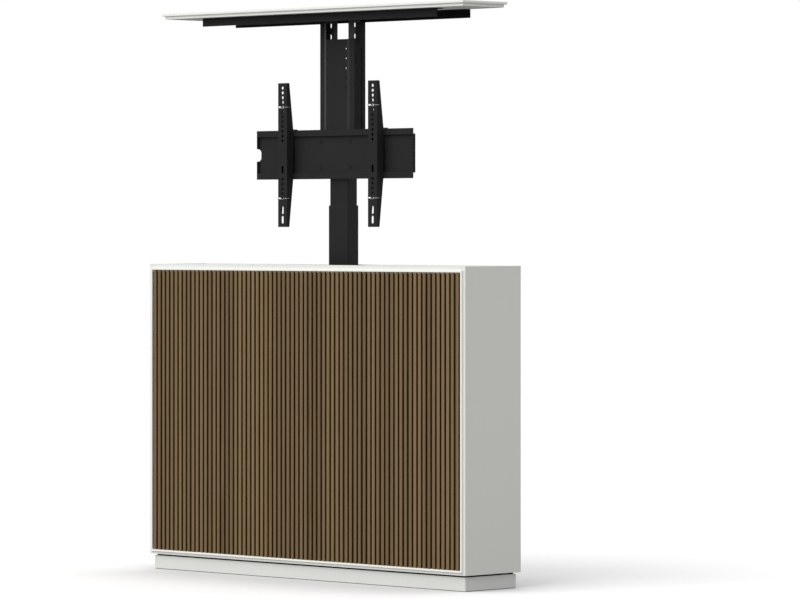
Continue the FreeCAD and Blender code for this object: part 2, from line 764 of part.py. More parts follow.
# The lowered mast, with its head bracket, stands on the closed column.
head_low = carrier_foot - d.head_drop - d.head_height - d.lift_travel
plate_face = deck + d.foot_plate_thickness
base_ring_top = head_low - d.head_gap - d.stage_gap
base_top = base_ring_top - d.glide_height
bracket_top = base_top - d.rear_bracket_drop
motor_top = plate_face + d.motor_length
gearbox_top = motor_top + d.gearbox_height
mid_foot = gearbox_top + d.mid_floor_gap + stroke
mid_ring_top = base_ring_top + d.stage_gap + stroke
mid_head = mid_ring_top - d.glide_height
inner_foot = gearbox_top + d.mid_floor_gap + d.inner_floor_gap + d.lift_travel
inner_head = head_low + d.lift_travel


def tube(name, width, depth, low, high):
    wall = 2 * d.tube_wall
    return rounded_tube(name, width, depth, d.tube_corner, width - wall, depth - wall,
                        d.tube_bore_corner, low, high)


def glide_ring(name, width, depth, low):
    # A plastic ring as large as the outer tube, open for the tube that slides in it.
    inside = 2 * (d.tube_wall + d.tube_play - d.seat_gap)
    return rounded_tube(name, width, depth, d.tube_corner, width - inside, depth - inside,
                        d.tube_corner + d.seat_gap, low, low + d.glide_height)


def build_base():
    half_x = d.foot_plate_width / 2
    half_y = d.foot_plate_depth / 2
    plate = box("FootPlateBlank", span(half_x), (column_y - half_y, column_y + half_y),
                (deck, plate_face))
    places = foot_bolt_places()
    bores = [
        rod(f"PlateBore{index}", at, "z", plate_bolt_hole, -d.board, d.board)
        for index, at in enumerate(places)
    ]
    node("lift_foot_plate", cut("LiftFootPlate", plate, bores))
    bolts = [
        bolt(f"FootBolt{index}", at, "z", 1, d.plate_bolt_head, d.plate_bolt_radius,
             d.plate_bolt_radius, foot_bolt_length)
        for index, at in enumerate(places)
    ]
    node("foot_plate_bolts", group("FootPlateBolts", bolts))
    node("lift_base_tube", tube("BaseTube", base_width, base_depth, plate_face, base_top))
    node("base_glide", glide_ring("BaseGlide", base_width, base_depth, base_top))


def build_rear_bracket(bores):
    # A hat-shaped sheet between the base tube and the back panel.
    web_y = column_y + base_depth / 2
    depth = back_in - web_y
    web = d.rear_bracket_web / 2
    wide = d.rear_bracket_width / 2
    sheet_size = d.bracket_sheet
    right = [
        (web, as_size(0)),
        (web, depth - sheet_size),
        (wide, depth - sheet_size),
        (wide, depth),
        (web - sheet_size, depth),
        (web - sheet_size, sheet_size),
    ]
    left = [(-u, v) for u, v in reversed(right)]
    at = (as_size(0), web_y, bracket_top - d.rear_bracket_height)
    body = profile_body("RearBracketSheet", "XY_Plane", right + left, d.rear_bracket_height, at)
    node("rear_bracket", cut("RearBracket", body, bores))


def build_drive():
    at = (as_size(0), column_y, plate_face)
    node("drive_motor", rod("DriveMotor", at, "z", d.motor_radius, as_size(0), d.motor_length))
    half_x, half_y = d.gearbox_width / 2, d.gearbox_depth / 2
    gearbox_y = (column_y - half_y, column_y + half_y)
    node("drive_gearbox", box("DriveGearbox", span(half_x), gearbox_y, (motor_top, gearbox_top)))

    axis = (as_size(0), column_y, as_size(0))
    foot = gearbox_top + d.seat_gap
    head = mid_foot + d.nut_height + d.spindle_over
    screw = rod("LowerScrew", axis, "z", d.lower_spindle_radius, foot, head)
    collar = rod("LowerCollar", axis, "z", d.collar_radius, foot, foot + d.spindle_collar)
    node("lower_spindle", fuse("LowerSpindle", [screw, collar]))

    nut_top = mid_foot + d.nut_height
    nut_bore = rod("MidNutBore", axis, "z", d.lower_spindle_radius + d.spindle_gap, mid_foot,
                   nut_top)
    block = nut_block("MidNutBlock", mid_width, mid_depth, mid_foot)
    node("mid_nut", cut("MidNut", block, [nut_bore]))
    ring = rod("BearingRing", axis, "z", d.bearing_radius, nut_top, nut_top + d.bearing_height)
    ring_bore = rod("BearingBore", axis, "z", d.collar_radius + d.spindle_gap, nut_top,
                    nut_top + d.bearing_height)
    node("spindle_bearing", cut("SpindleBearing", ring, [ring_bore]))

    foot = nut_top + d.seat_gap
    head = inner_foot + d.nut_height + d.spindle_over
    screw = rod("UpperScrew", axis, "z", d.upper_spindle_radius, foot, head)
    collar = rod("UpperCollar", axis, "z", d.collar_radius, foot, foot + d.spindle_collar)
    hollow = rod("UpperHollow", axis, "z", d.upper_spindle_radius - d.upper_spindle_wall, foot,
                 head)
    node("upper_spindle", cut("UpperSpindle", fuse("UpperSolid", [screw, collar]), [hollow]))

    block = nut_block("InnerNutBlock", d.inner_width, d.inner_depth, inner_foot)
    nut_bore = rod("InnerNutBore", axis, "z", d.upper_spindle_radius + d.spindle_gap, inner_foot,
                   inner_foot + d.nut_height)
    node("inner_nut", cut("InnerNut", block, [nut_bore]))


def nut_block(name, width, depth, low):
    # A plastic block that fills the foot of a tube.
    inside = 2 * (d.tube_wall + d.nut_fit)
    return rounded_bar(name, width - inside, depth - inside, d.tube_bore_corner, low,
                       low + d.nut_height)


def build_stages():
    node("mid_tube", tube("MidTube", mid_width, mid_depth, mid_foot, mid_head))
    node("mid_glide", glide_ring("MidGlide", mid_width, mid_depth, mid_head))
    node("inner_tube", tube("InnerTube", d.inner_width, d.inner_depth, inner_foot, inner_head))


# ---- mast -------------------------------------------------------------------------------

head_bolt_z = inner_head + (d.head_plate + d.head_shoulder) / 2
carrier_y = mast_y + d.carrier_web_back
carrier_x = mast_x - d.mast_sheet - d.seat_gap
carrier_bolt_z = (web_top + carrier_foot) / 2
head_rear = mast_rear - d.mast_sheet


def side_bolt_places():
    # Bolts through both mast flanges: two rows at the head bracket, one at the lid bracket.
    middle = (mast_y + mast_rear) / 2
    head = [(middle + d.side_bolt_spread / 2 * row, head_bolt_z) for row in (-1, 1)]
    carrier = [(carrier_y - d.carrier_flange / 2, carrier_bolt_z)]
    return head, carrier


def build_mast():
    rib_x = d.mast_rib_width / 2
    band_x = rib_x + d.mast_rib_flank
    rib = -d.mast_rib_proud
    gauge = d.mast_sheet
    depth = d.mast_flange
    bend = gauge + d.mast_bend
    lip_x = mast_x - d.mast_lip
    outside = [
        (lip_x, depth),
        (mast_x, depth),
        (mast_x, bend),
        (mast_x - bend, as_size(0)),
        (band_x, as_size(0)),
        (rib_x, rib),
    ]
    inside = [
        (rib_x, rib + gauge),
        (band_x, gauge),
        (mast_x - bend, gauge),
        (mast_x - gauge, bend),
        (mast_x - gauge, depth - gauge),
        (lip_x, depth - gauge),
    ]
    outline = outside + mirrored(outside) + mirrored(inside) + inside
    at = (as_size(0), mast_y, mast_foot)
    body = profile_body("MastSheet", "XY_Plane", outline, d.mast_length, at)

    above = (web_top, rails_low + gauge)
    tools = [
        box("MastWindow", (-rib_x, mast_x + gauge),
            (mast_y + rib - gauge, mast_y + d.mast_window_depth), above),
        box("LipRelief", span(mast_x - gauge), (mast_rear - gauge, mast_rear + gauge), above),
    ]
    lowest = rails_low - d.rib_hole_drop - d.rib_hole_pitch * (d.rib_hole_rows - 1)
    for side in (-1, 1):
        at = (d.rib_hole_x * side, mast_y + rib, lowest)
        tools.append(hole_row(f"RibHoles{side + 1}", "XZ_Plane", at, d.rib_hole_radius,
                              2 * gauge, "V_Axis", d.rib_hole_pitch, d.rib_hole_rows))
    across = span(mast_x + gauge)
    slot_y, slot_z = d.side_slot_width / 2, d.side_slot_length / 2
    lowest = rails_low - d.side_slot_drop - d.side_slot_pitch * (d.side_slot_count - 1)
    body_slots = profile_body(
        "SideSlots",
        "YZ_Plane",
        [(-slot_y, -slot_z), (slot_y, -slot_z), (slot_y, slot_z), (-slot_y, slot_z)],
        2 * across[1],
        (across[0], mast_y + d.side_slot_inset, lowest),
    )
    tools.append(repeat(body_slots, [body_slots.Tip], "V_Axis", d.side_slot_pitch,
                        d.side_slot_count))
    seam_y = mast_y + d.seam_inset
    tools.append(box(
        "AdjustSlot",
        across,
        (seam_y - d.seam_width / 2, seam_y + d.seam_width / 2),
        (mast_foot + d.seam_lift, rails_low - d.seam_drop),
    ))
    head, carrier = side_bolt_places()
    for index, (y, z) in enumerate(head + carrier):
        hole = d.side_bolt_radius + d.bolt_play
        tools.append(rod(f"MastBore{index}", (as_size(0), y, z), "x", hole, *across))
    for index, (x, y, z) in enumerate(plate_bolt_places()):
        tools.append(rod(f"BandBore{index}", (x, mast_y, z), "y", plate_bolt_hole, -gauge,
                         2 * gauge))
    node("mast_channel", cut("MastChannel", body, tools))


def build_head_bracket():
    # A U-shaped bracket on the inner tube, bolted between the mast flanges; the flanges rise
    # as horns along the mast's front corners.
    wide = carrier_x
    thin = wide - d.head_flange
    half = [(wide, as_size(0)), (wide, d.head_height), (thin, d.head_height), (thin, d.head_plate)]
    outline = half + mirrored(half)
    length = head_rear - mast_y - d.mast_sheet - d.mast_bend - d.seat_gap
    at = (as_size(0), head_rear, inner_head)
    body = profile_body("HeadBracketSheet", "XZ_Plane", outline, length, at)
    hole = d.side_bolt_radius + d.bolt_play
    head, _ = side_bolt_places()
    bores = [
        rod(f"HeadBore{index}", (as_size(0), y, z), "x", hole, *span(mast_x))
        for index, (y, z) in enumerate(head)
    ]
    trim = box("HornTrim", span(mast_x), (head_rear - length + d.head_horn, mast_rear),
               (inner_head + d.head_shoulder, inner_head + d.head_height + d.head_plate))
    node("head_bracket", cut("HeadBracket", body, [trim] + bores))


def build_side_bolts():
    head, carrier = side_bolt_places()
    bolts = []
    for index, (y, z) in enumerate(head + carrier):
        for side in (-1, 1):
            name = f"SideBolt{index}{side + 1}"
            length = d.mast_sheet + d.head_flange + d.bolt_tip
            bolts.append(bolt(name, (mast_x * side, y, z), "x", side, d.side_bolt_head,
                              d.side_bolt_head_height, d.side_bolt_radius, length))
    node("mast_side_bolts", group("MastSideBolts", bolts))


# ---- cross plate and arms -----------------------------------------------------------------

def plate_bolt_places():
    # Seat points on the cross plate's middle panel.
    return [
        (d.spacer_x * column, panel_y, plate_mid + d.spacer_spread / 2 * row)
        for column in (-1, 1)
        for row in (-1, 1)
    ]


def build_cross_plate():
    # Two long bands with flanges behind them, and between the bands a middle panel set back,
    # with its ends folded forward.
    gauge = d.plate_sheet
    high = d.plate_height
    band = d.plate_band
    inset = d.plate_step
    outline = [
        (d.plate_depth, as_size(0)),
        (as_size(0), as_size(0)),
        (as_size(0), band),
        (inset, band),
        (inset, high - band),
        (as_size(0), high - band),
        (as_size(0), high),
        (d.plate_depth, high),
        (d.plate_depth, high - gauge),
        (gauge, high - gauge),
        (gauge, high - band + gauge),
        (inset + gauge, high - band + gauge),
        (inset + gauge, band - gauge),
        (gauge, band - gauge),
        (gauge, gauge),
        (d.plate_depth, gauge),
    ]
    left = -d.plate_length / 2
    sheet_body = profile_body("CrossPlateSheet", "YZ_Plane", outline, d.plate_length,
                              (left, plate_y, plate_foot))
    reach = d.plate_length / 2
    ends = [
        box(f"EndFlange{index}", x, (plate_y, panel_y + gauge),
            (plate_foot + band, plate_top - band))
        for index, x in enumerate(((left, left + gauge), (reach - gauge, reach)))
    ]
    body = fuse("CrossPlateBlank", [sheet_body] + ends)
    trims = [
        box(f"FlangeTrim{zone}{index}", x, (plate_y + gauge, mast_y + gauge),
            (edge - gauge, edge + gauge))
        for zone, edge in (("Low", plate_foot), ("High", plate_top))
        for index, x in enumerate(((-reach - gauge, d.flange_short - reach),
                                   (reach - d.flange_short, reach + gauge)))
    ]

    # Both long flanges clear the mast rib, and the column behind it when the lift is down.
    relief_x = d.mast_rib_width / 2 + d.mast_rib_flank + d.mast_sheet
    rib_face = mast_y - d.mast_rib_proud
    relief = box("RibRelief", span(relief_x), (rib_face - d.seat_gap, mast_y + gauge),
                 (plate_foot - gauge, plate_top + gauge))
    mouth = d.notch_mouth / 2
    floor = d.notch_floor / 2
    notch = profile_body(
        "CableNotch",
        "XZ_Plane",
        [(-gauge, -mouth), (as_size(0), -mouth), (d.notch_depth, -floor),
         (d.notch_depth, floor), (as_size(0), mouth), (-gauge, mouth)],
        d.plate_depth + gauge,
        (left, plate_y + d.plate_depth, plate_mid),
    )
    bores = [
        rod(f"PlateFaceBore{index}", at, "y", plate_bolt_hole, -gauge, 2 * gauge)
        for index, at in enumerate(plate_bolt_places())
    ]
    node("cross_plate", cut("CrossPlate", body, [relief, notch] + trims + bores))

    spacers, bolts = [], []
    for index, at in enumerate(plate_bolt_places()):
        reach = mast_y - panel_y
        solid = rod(f"SpacerRod{index}", at, "y", d.spacer_radius, gauge, reach)
        bore = rod(f"SpacerBore{index}", at, "y", plate_bolt_hole, as_size(0), reach)
        spacers.append(cut(f"Spacer{index}", solid, [bore]))
        length = reach + d.mast_sheet + d.bolt_tip
        bolts.append(bolt(f"PlateBolt{index}", at, "y", -1, d.plate_bolt_head,
                          d.plate_bolt_head_height, d.plate_bolt_radius, length))
    node("cross_plate_spacers", group("CrossPlateSpacers", spacers))
    node("cross_plate_bolts", group("CrossPlateBolts", bolts))


arm_face = plate_y - d.arm_reach
arm_foot = plate_foot - d.arm_below
arm_tip = arm_foot + d.arm_height


def arm_outline():
    # Side view of an arm: Y back from its face, Z up from its foot.
    tip = d.arm_end_depth
    full = d.arm_reach - d.seat_gap
    plate_low = d.arm_below
    plate_high = d.arm_below + d.plate_height
    finger = d.arm_reach + d.plate_depth + d.seat_gap
    hook_top = plate_high + d.hook_rise
    return [
        (as_size(0), as_size(0)),
        (as_size(0), d.arm_height),
        (tip, d.arm_height),
        (full, hook_top),
        (finger + d.hook_thickness, hook_top),
        (finger + d.hook_thickness, plate_high - d.hook_drop),
        (finger, plate_high - d.hook_drop),
        (finger, plate_high + d.seat_gap),
        (full, plate_high + d.seat_gap),
        (full, plate_low),
        (tip, as_size(0)),
    ]


# The highest hole of the upper and of the lower group.
top_hole = arm_tip - d.arm_hole_drop
low_hole = top_hole - d.television_rise + d.arm_hole_pitch
middle_slot = arm_tip - d.arm_slot_drop


def arm_holes(name, x):
    # One column of holes and slots down the middle of the arm's face.
    reach = 2 * d.arm_sheet
    groups = {"High": (top_hole, d.arm_high_count), "Low": (low_hole, d.arm_low_count)}
    tools = []
    for group_name, (highest, count) in groups.items():
        at = (x, arm_face, highest - d.arm_hole_pitch * (count - 1))
        tools.append(hole_row(name + group_name, "XZ_Plane", at, d.arm_hole_radius, reach,
                              "V_Axis", d.arm_hole_pitch, count))
    slots = {
        "Middle": middle_slot,
        "Upper": arm_foot + d.foot_slot_lift + d.foot_slot_pitch,
        "Lower": arm_foot + d.foot_slot_lift,
    }
    for slot_name, height in slots.items():
        tools.append(slot(f"{name}Slot{slot_name}", x, arm_face, height, "y", d.arm_hole_radius,
                          d.arm_slot_length, -reach, reach))
    return tools


def build_arm(side_name, sign):
    x = d.arm_spacing / 2 * sign
    half = d.arm_width / 2
    label = "Arm_" + side_name
    body = profile_body(label + "Blank", "YZ_Plane", arm_outline(), d.arm_width,
                        (x - half, arm_face, arm_foot))
    inner = half - d.arm_sheet
    hollow = box(
        label + "Hollow",
        (x - inner, x + inner),
        (arm_face + d.arm_sheet, mast_rear),
        (arm_foot - d.arm_sheet, arm_tip + d.arm_sheet),
    )
    channel = cut(label + "Channel", body, [hollow])
    node("arm_" + side_name, cut(label, channel, arm_holes(label, x)))

    # Spring clips round the arm: a strap up to a hole, a thin wire from there on.
    clips = []
    clip_x = (x - half - d.clip_sheet, x - d.arm_hole_radius, x + half + d.clip_sheet)
    clip_y = (arm_face - d.clip_sheet, arm_face + d.clip_depth)
    for index, highest in enumerate((top_hole, low_hole)):
        middle = highest - d.arm_hole_pitch * d.clip_hole
        strap_z = (middle - d.clip_height / 2, middle + d.clip_height / 2)
        wire_z = (middle - d.clip_wire / 2, middle + d.clip_wire / 2)
        blank = fuse(f"{label}ClipBlank{index}", [
            box(f"{label}Strap{index}", clip_x[:2], clip_y, strap_z),
            box(f"{label}Wire{index}", clip_x[1:], clip_y, wire_z),
        ])
        inside = box(f"{label}ClipInside{index}", (x - half, x + half),
                     (arm_face, clip_y[1] + d.clip_sheet), strap_z)
        clips.append(cut(f"{label}Clip{index}", blank, [inside]))
    node("arm_clips_" + side_name, group(label + "Clips", clips))

    # A latch bar between the side flanges; its screw, reached through the middle slot, presses
    # on the cross plate's middle panel.
    bar_y = arm_face + d.latch_back
    bar = box(label + "LatchBlank", (x - inner, x + inner), (bar_y, bar_y + d.latch_thickness),
              (middle_slot - d.latch_height / 2, middle_slot + d.latch_height / 2))
    screw_at = (x, bar_y, middle_slot)
    bore = rod(label + "LatchBore", screw_at, "y", d.latch_screw_radius + d.bolt_play,
               -d.latch_thickness, 2 * d.latch_thickness)
    node("arm_latch_" + side_name, cut(label + "Latch", bar, [bore]))
    node("arm_latch_screw_" + side_name,
         bolt(label + "LatchScrew", screw_at, "y", -1, d.latch_head_radius, d.latch_head_height,
              d.latch_screw_radius, panel_y - d.seat_gap - bar_y))


# ---- lid ----------------------------------------------------------------------------------

rail_front = lid_y[0] + d.rail_front_inset
rail_rear = liner_y[1]
shelf = liner_low - d.rail_sheet


rail_middle = (d.rail_leg + d.rail_sheet) / 2


def rail_rows(make, prefix, *details):
    # One row of screws or bores along each rail's flat leg, under the lid.
    reach = d.rail_length / 2 - d.rail_screw_inset
    pitch = 2 * reach / (d.rail_screw_count - 1)
    rows = []
    for name, y in (("Front", rail_front + rail_middle), ("Rear", rail_rear - rail_middle)):
        rows.append(make(prefix + name, "XY_Plane", (-reach, y, shelf), *details, "H_Axis",
                         pitch, d.rail_screw_count))
    return rows


def carrier_bolt_places():
    return [
        (d.carrier_bolt_x * column, y, shelf)
        for column in (-1, 1)
        for y in (rail_front + rail_middle, rail_rear - rail_middle)
    ]


def build_lid():
    node("lid_top", box("LidTop", span(lid_x), lid_y, (lid_low, lid_low + d.lid_lip)))
    liner = box("LinerBoard", span(liner_x), liner_y, (liner_low, lid_low))
    grip = d.rail_sheet + d.rail_screw_bite
    pilots = rail_rows(hole_row, "RailPilots", d.rail_screw_radius + d.bolt_play,
                       grip + d.seat_gap)
    node("lid_liner", cut("LidLiner", liner, pilots))

    left = -d.rail_length / 2
    thick = d.rail_sheet
    front_outline = [
        (as_size(0), as_size(0)),
        (thick, as_size(0)),
        (thick, d.rail_height - thick),
        (d.rail_leg, d.rail_height - thick),
        (d.rail_leg, d.rail_height),
        (as_size(0), d.rail_height),
    ]
    rear_outline = [(-y, z) for y, z in front_outline]
    bolt_hole = d.side_bolt_radius + d.bolt_play
    bolt_bores = [
        rod(f"RailBoltBore{index}", at, "z", bolt_hole, -thick, 2 * thick)
        for index, at in enumerate(carrier_bolt_places())
    ]
    rails = {"front": (front_outline, rail_front), "rear": (rear_outline, rail_rear)}
    for name, (outline, y) in rails.items():
        body = profile_body(f"Rail_{name}", "YZ_Plane", outline, d.rail_length,
                            (left, y, rails_low))
        node("lid_rail_" + name, cut(f"LidRail_{name}", body, pilots + bolt_bores))

    screw = (d.rail_screw_head, d.rail_screw_head_height, d.rail_screw_radius, grip)
    node("lid_rail_screws", group("LidRailScrews", rail_rows(screw_row, "RailScrews", screw)))


def build_lid_bracket():
    # An upright window plate between the mast flanges, with a top plate under both rails.
    gauge = d.bracket_sheet
    web_y = (carrier_y, carrier_y + gauge)
    web = box("CarrierWeb", span(carrier_x), web_y, (carrier_foot, shelf))
    flange_y = (carrier_y - d.carrier_flange, carrier_y + gauge)
    flange_z = (carrier_foot, rails_low - gauge)
    flanges = [
        box("CarrierLeft", (-carrier_x, gauge - carrier_x), flange_y, flange_z),
        box("CarrierRight", (carrier_x - gauge, carrier_x), flange_y, flange_z),
    ]
    top_y = (rail_front + d.rail_sheet, rail_rear - d.rail_sheet)
    top_plate = box("CarrierTop", span(carrier_x), top_y, (shelf - gauge, shelf))
    solid = fuse("CarrierSolid", [web, top_plate] + flanges)

    window = box("CarrierWindow", span(d.carrier_window / 2),
                 (carrier_y - gauge, carrier_y + 2 * gauge),
                 (rails_low - d.carrier_window_foot, shelf - 3 * gauge))
    tools = [window]
    for column in (-1, 1):
        for row in range(2):
            height = rails_low - d.carrier_slot_drop - d.carrier_slot_pitch * row
            tools.append(slot(f"CarrierSlot{column + 1}{row}", d.carrier_slot_x * column,
                              carrier_y, height, "y", d.carrier_slot_width / 2,
                              d.carrier_slot_length, -gauge, 2 * gauge))
    hole = d.side_bolt_radius + d.bolt_play
    _, carrier = side_bolt_places()
    for index, (y, z) in enumerate(carrier):
        tools.append(rod(f"CarrierBore{index}", (as_size(0), y, z), "x", hole, *span(mast_x)))
    for index, at in enumerate(carrier_bolt_places()):
        tools.append(rod(f"CarrierTopBore{index}", at, "z", hole, -2 * gauge, gauge))
    node("lid_bracket", cut("LidBracket", solid, tools))

    bolts = []
    for index, (x, y, z) in enumerate(carrier_bolt_places()):
        seat = (x, y, z - gauge)
        bolts.append(bolt(f"CarrierBolt{index}", seat, "z", -1, d.side_bolt_head,
                          d.side_bolt_head_height, d.side_bolt_radius, gauge + d.rail_sheet))
    node("lid_bracket_bolts", group("LidBracketBolts", bolts))


# ---- build, check and write ---------------------------------------------------------------

panel_bores, bracket_bores = build_panel_screws()
build_carcass(panel_bores, bracket_bores)
build_plinth()
build_feet()
build_slats()
build_trim()
build_bumpers()
build_outlet()
build_electrics()
build_base()
build_rear_bracket(bracket_bores)
build_drive()
build_stages()
build_mast()
build_head_bracket()
build_side_bolts()
build_cross_plate()
build_arm("left", -1)
build_arm("right", 1)
build_lid()
build_lid_bracket()
doc.recompute()

for obj in doc.Objects:
    if {"Invalid", "Error"} & set(obj.State):
        raise RuntimeError(f"{obj.Name} ({obj.Label}) did not build: {obj.State}")
for result, base in cutters:
    if result.Shape.Volume > base.Shape.Volume - 1:
        raise RuntimeError(f"{result.Name} removed nothing from {base.Name}")
for name, obj in nodes.items():
    if obj.Shape.isNull() or not obj.Shape.isValid() or not obj.Shape.Solids:
        raise RuntimeError(f"{name} has no valid solid")
for name, obj in nodes.items():
    obj.Shape.exportStep(f"parts/{name}.step")
    size = obj.Shape.BoundBox
    print(f"{name:24s} {len(obj.Shape.Solids):3d} solid(s)  X {size.XMin:8.1f} {size.XMax:8.1f}  "
          f"Y {size.YMin:7.1f} {size.YMax:7.1f}  Z {size.ZMin:7.1f} {size.ZMax:7.1f}")
print(len(nodes), "sub-parts")
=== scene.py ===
import json
import math
import random

import bmesh
import bpy
from mathutils import Matrix, Vector


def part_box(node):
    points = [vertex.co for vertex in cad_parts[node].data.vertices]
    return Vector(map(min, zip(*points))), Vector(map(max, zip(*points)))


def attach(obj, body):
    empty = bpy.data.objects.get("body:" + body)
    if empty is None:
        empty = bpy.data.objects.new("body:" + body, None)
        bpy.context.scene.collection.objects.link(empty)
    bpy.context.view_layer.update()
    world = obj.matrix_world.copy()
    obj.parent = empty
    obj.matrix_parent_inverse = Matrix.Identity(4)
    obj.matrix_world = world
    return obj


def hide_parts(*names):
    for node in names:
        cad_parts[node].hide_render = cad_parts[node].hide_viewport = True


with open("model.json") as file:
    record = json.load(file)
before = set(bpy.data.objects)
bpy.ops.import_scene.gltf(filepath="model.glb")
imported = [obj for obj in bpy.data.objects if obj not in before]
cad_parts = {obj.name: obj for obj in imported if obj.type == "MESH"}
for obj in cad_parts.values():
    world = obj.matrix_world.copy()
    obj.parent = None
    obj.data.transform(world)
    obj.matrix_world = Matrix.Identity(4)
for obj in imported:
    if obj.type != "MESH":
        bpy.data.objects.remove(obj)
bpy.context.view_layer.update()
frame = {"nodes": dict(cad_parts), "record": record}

mm = 0.001
record = frame["record"]
bodyOf = {node: body for body, nodes in record["behaviour"]["bodies"].items() for node in nodes}
slotOf = {row["node"]: row["material_slot"] for row in record["subparts"]}
print("frame loaded:", len(frame["nodes"]), "nodes")


# Camera, level, looking at the cabinet from its front right corner.
cameraSetup = {
    "place": (10.4791, -10.1708, 1.0826),
    "tilt": 90.0,
    "turn": 45.0,
    "lens": 212.2,
    "sensor": 36.0,
    "shiftY": -0.0896,
    "farthest": 200.0,
}


def makeCamera(setup):
    data = bpy.data.cameras.new("mainCamera")
    data.lens = setup["lens"]
    data.sensor_width = setup["sensor"]
    data.shift_y = setup["shiftY"]
    data.clip_end = setup["farthest"]
    camera = bpy.data.objects.new("mainCamera", data)
    camera.location = setup["place"]
    camera.rotation_euler = (math.radians(setup["tilt"]), 0, math.radians(setup["turn"]))
    bpy.context.collection.objects.link(camera)
    bpy.context.scene.camera = camera


makeCamera(cameraSetup)
print("camera ready")


# Node helpers.
def addNode(tree, kind, settings=None, inputs=None):
    # An input value may be a constant or another node's output socket.
    node = tree.nodes.new(kind)
    for name, value in (settings or {}).items():
        setattr(node, name, value)
    for name, value in (inputs or {}).items():
        if isinstance(value, bpy.types.NodeSocket):
            tree.links.new(value, node.inputs[name])
        else:
            node.inputs[name].default_value = value
    return node


def mathNode(tree, operation, first, second=0.0):
    settings = {"operation": operation}
    return addNode(tree, "ShaderNodeMath", settings, {0: first, 1: second}).outputs[0]


def mixColour(tree, amount, first, second, blendType="MIX"):
    # The Mix node's colour sockets are its inputs 6 and 7 and its output 2.
    node = addNode(tree, "ShaderNodeMix", {"data_type": "RGBA", "blend_type": blendType},
                   {0: amount, 6: first, 7: second})
    return node.outputs[2]


def remap(tree, value, fromRange, low=0.0, high=1.0):
    ends = {"Value": value, "From Min": fromRange[0], "From Max": fromRange[1],
            "To Min": low, "To Max": high}
    return addNode(tree, "ShaderNodeMapRange", {"clamp": True}, ends).outputs["Result"]


def noise(tree, place, scale, detail, **others):
    settings = {"Vector": place, "Scale": scale, "Detail": detail, **others}
    return addNode(tree, "ShaderNodeTexNoise", None, settings).outputs["Fac"]


def vectorNode(tree, operation, first, second):
    settings = {"operation": operation}
    return addNode(tree, "ShaderNodeVectorMath", settings, {0: first, 1: second}).outputs[0]


def newGroup(name, inputs, outputs):
    group = bpy.data.node_groups.new(name, "ShaderNodeTree")
    for socketName, kind, value in inputs:
        socket = group.interface.new_socket(socketName, in_out="INPUT", socket_type=kind)
        socket.default_value = value
    for socketName, kind in outputs:
        group.interface.new_socket(socketName, in_out="OUTPUT", socket_type=kind)
    start = group.nodes.new("NodeGroupInput")
    end = group.nodes.new("NodeGroupOutput")
    return group, start.outputs, end.inputs


# Surface effects that several materials share.
noiseMiddle = 0.5
surfaceOutputs = [("Colour", "NodeSocketColor"), ("Roughness", "NodeSocketFloat"),
                  ("Height", "NodeSocketFloat")]
mottleMakeup = {
    "cloudDetail": 4.0,
    "cloudRange": (0.3, 0.7),
    "pebbleDetail": 2.0,
}


def makeMottle(setup):
    # Faint cloudiness in colour and gloss, and a fine pebbled height.
    group, given, result = newGroup(
        "surfaceMottle",
        [
            ("Colour", "NodeSocketColor", (0.8, 0.8, 0.8, 1)),
            ("Cloud Colour", "NodeSocketColor", (0.75, 0.75, 0.75, 1)),
            ("Cloud Scale", "NodeSocketFloat", 3.0),
            ("Pebble Scale", "NodeSocketFloat", 900.0),
            ("Roughness", "NodeSocketFloat", 0.4),
            ("Roughness Spread", "NodeSocketFloat", 0.06),
        ],
        surfaceOutputs,
    )
    place = addNode(group, "ShaderNodeTexCoord").outputs["Object"]
    cloud = noise(group, place, given["Cloud Scale"], setup["cloudDetail"])
    pebble = noise(group, place, given["Pebble Scale"], setup["pebbleDetail"])
    amount = remap(group, cloud, setup["cloudRange"])
    colour = mixColour(group, amount, given["Colour"], given["Cloud Colour"])
    centred = mathNode(group, "SUBTRACT", amount, noiseMiddle)
    grit = mathNode(group, "SUBTRACT", pebble, noiseMiddle)
    unevenness = mathNode(group, "ADD", centred, grit)
    spread = mathNode(group, "MULTIPLY", unevenness, given["Roughness Spread"])
    group.links.new(colour, result["Colour"])
    group.links.new(mathNode(group, "ADD", given["Roughness"], spread), result["Roughness"])
    group.links.new(pebble, result["Height"])
    return group


grainMakeup = {
    "toneShift": 37.0,  # how far one step of tone moves the pattern along the grain
    "toneStrength": 0.55,
    "streakDetail": 5.0,
    "streakRoughness": 0.62,
    "streakWarp": 0.35,
    "streakRange": (0.3, 0.72),
    "poreFineness": 4.5,
    "poreDetail": 3.0,
    "poreSoftness": 0.5,
    "poreRange": (0.36, 0.47),
    "poreDarkness": 0.45,
    "poreDepth": 0.6,
    "poreRoughness": 0.15,
}


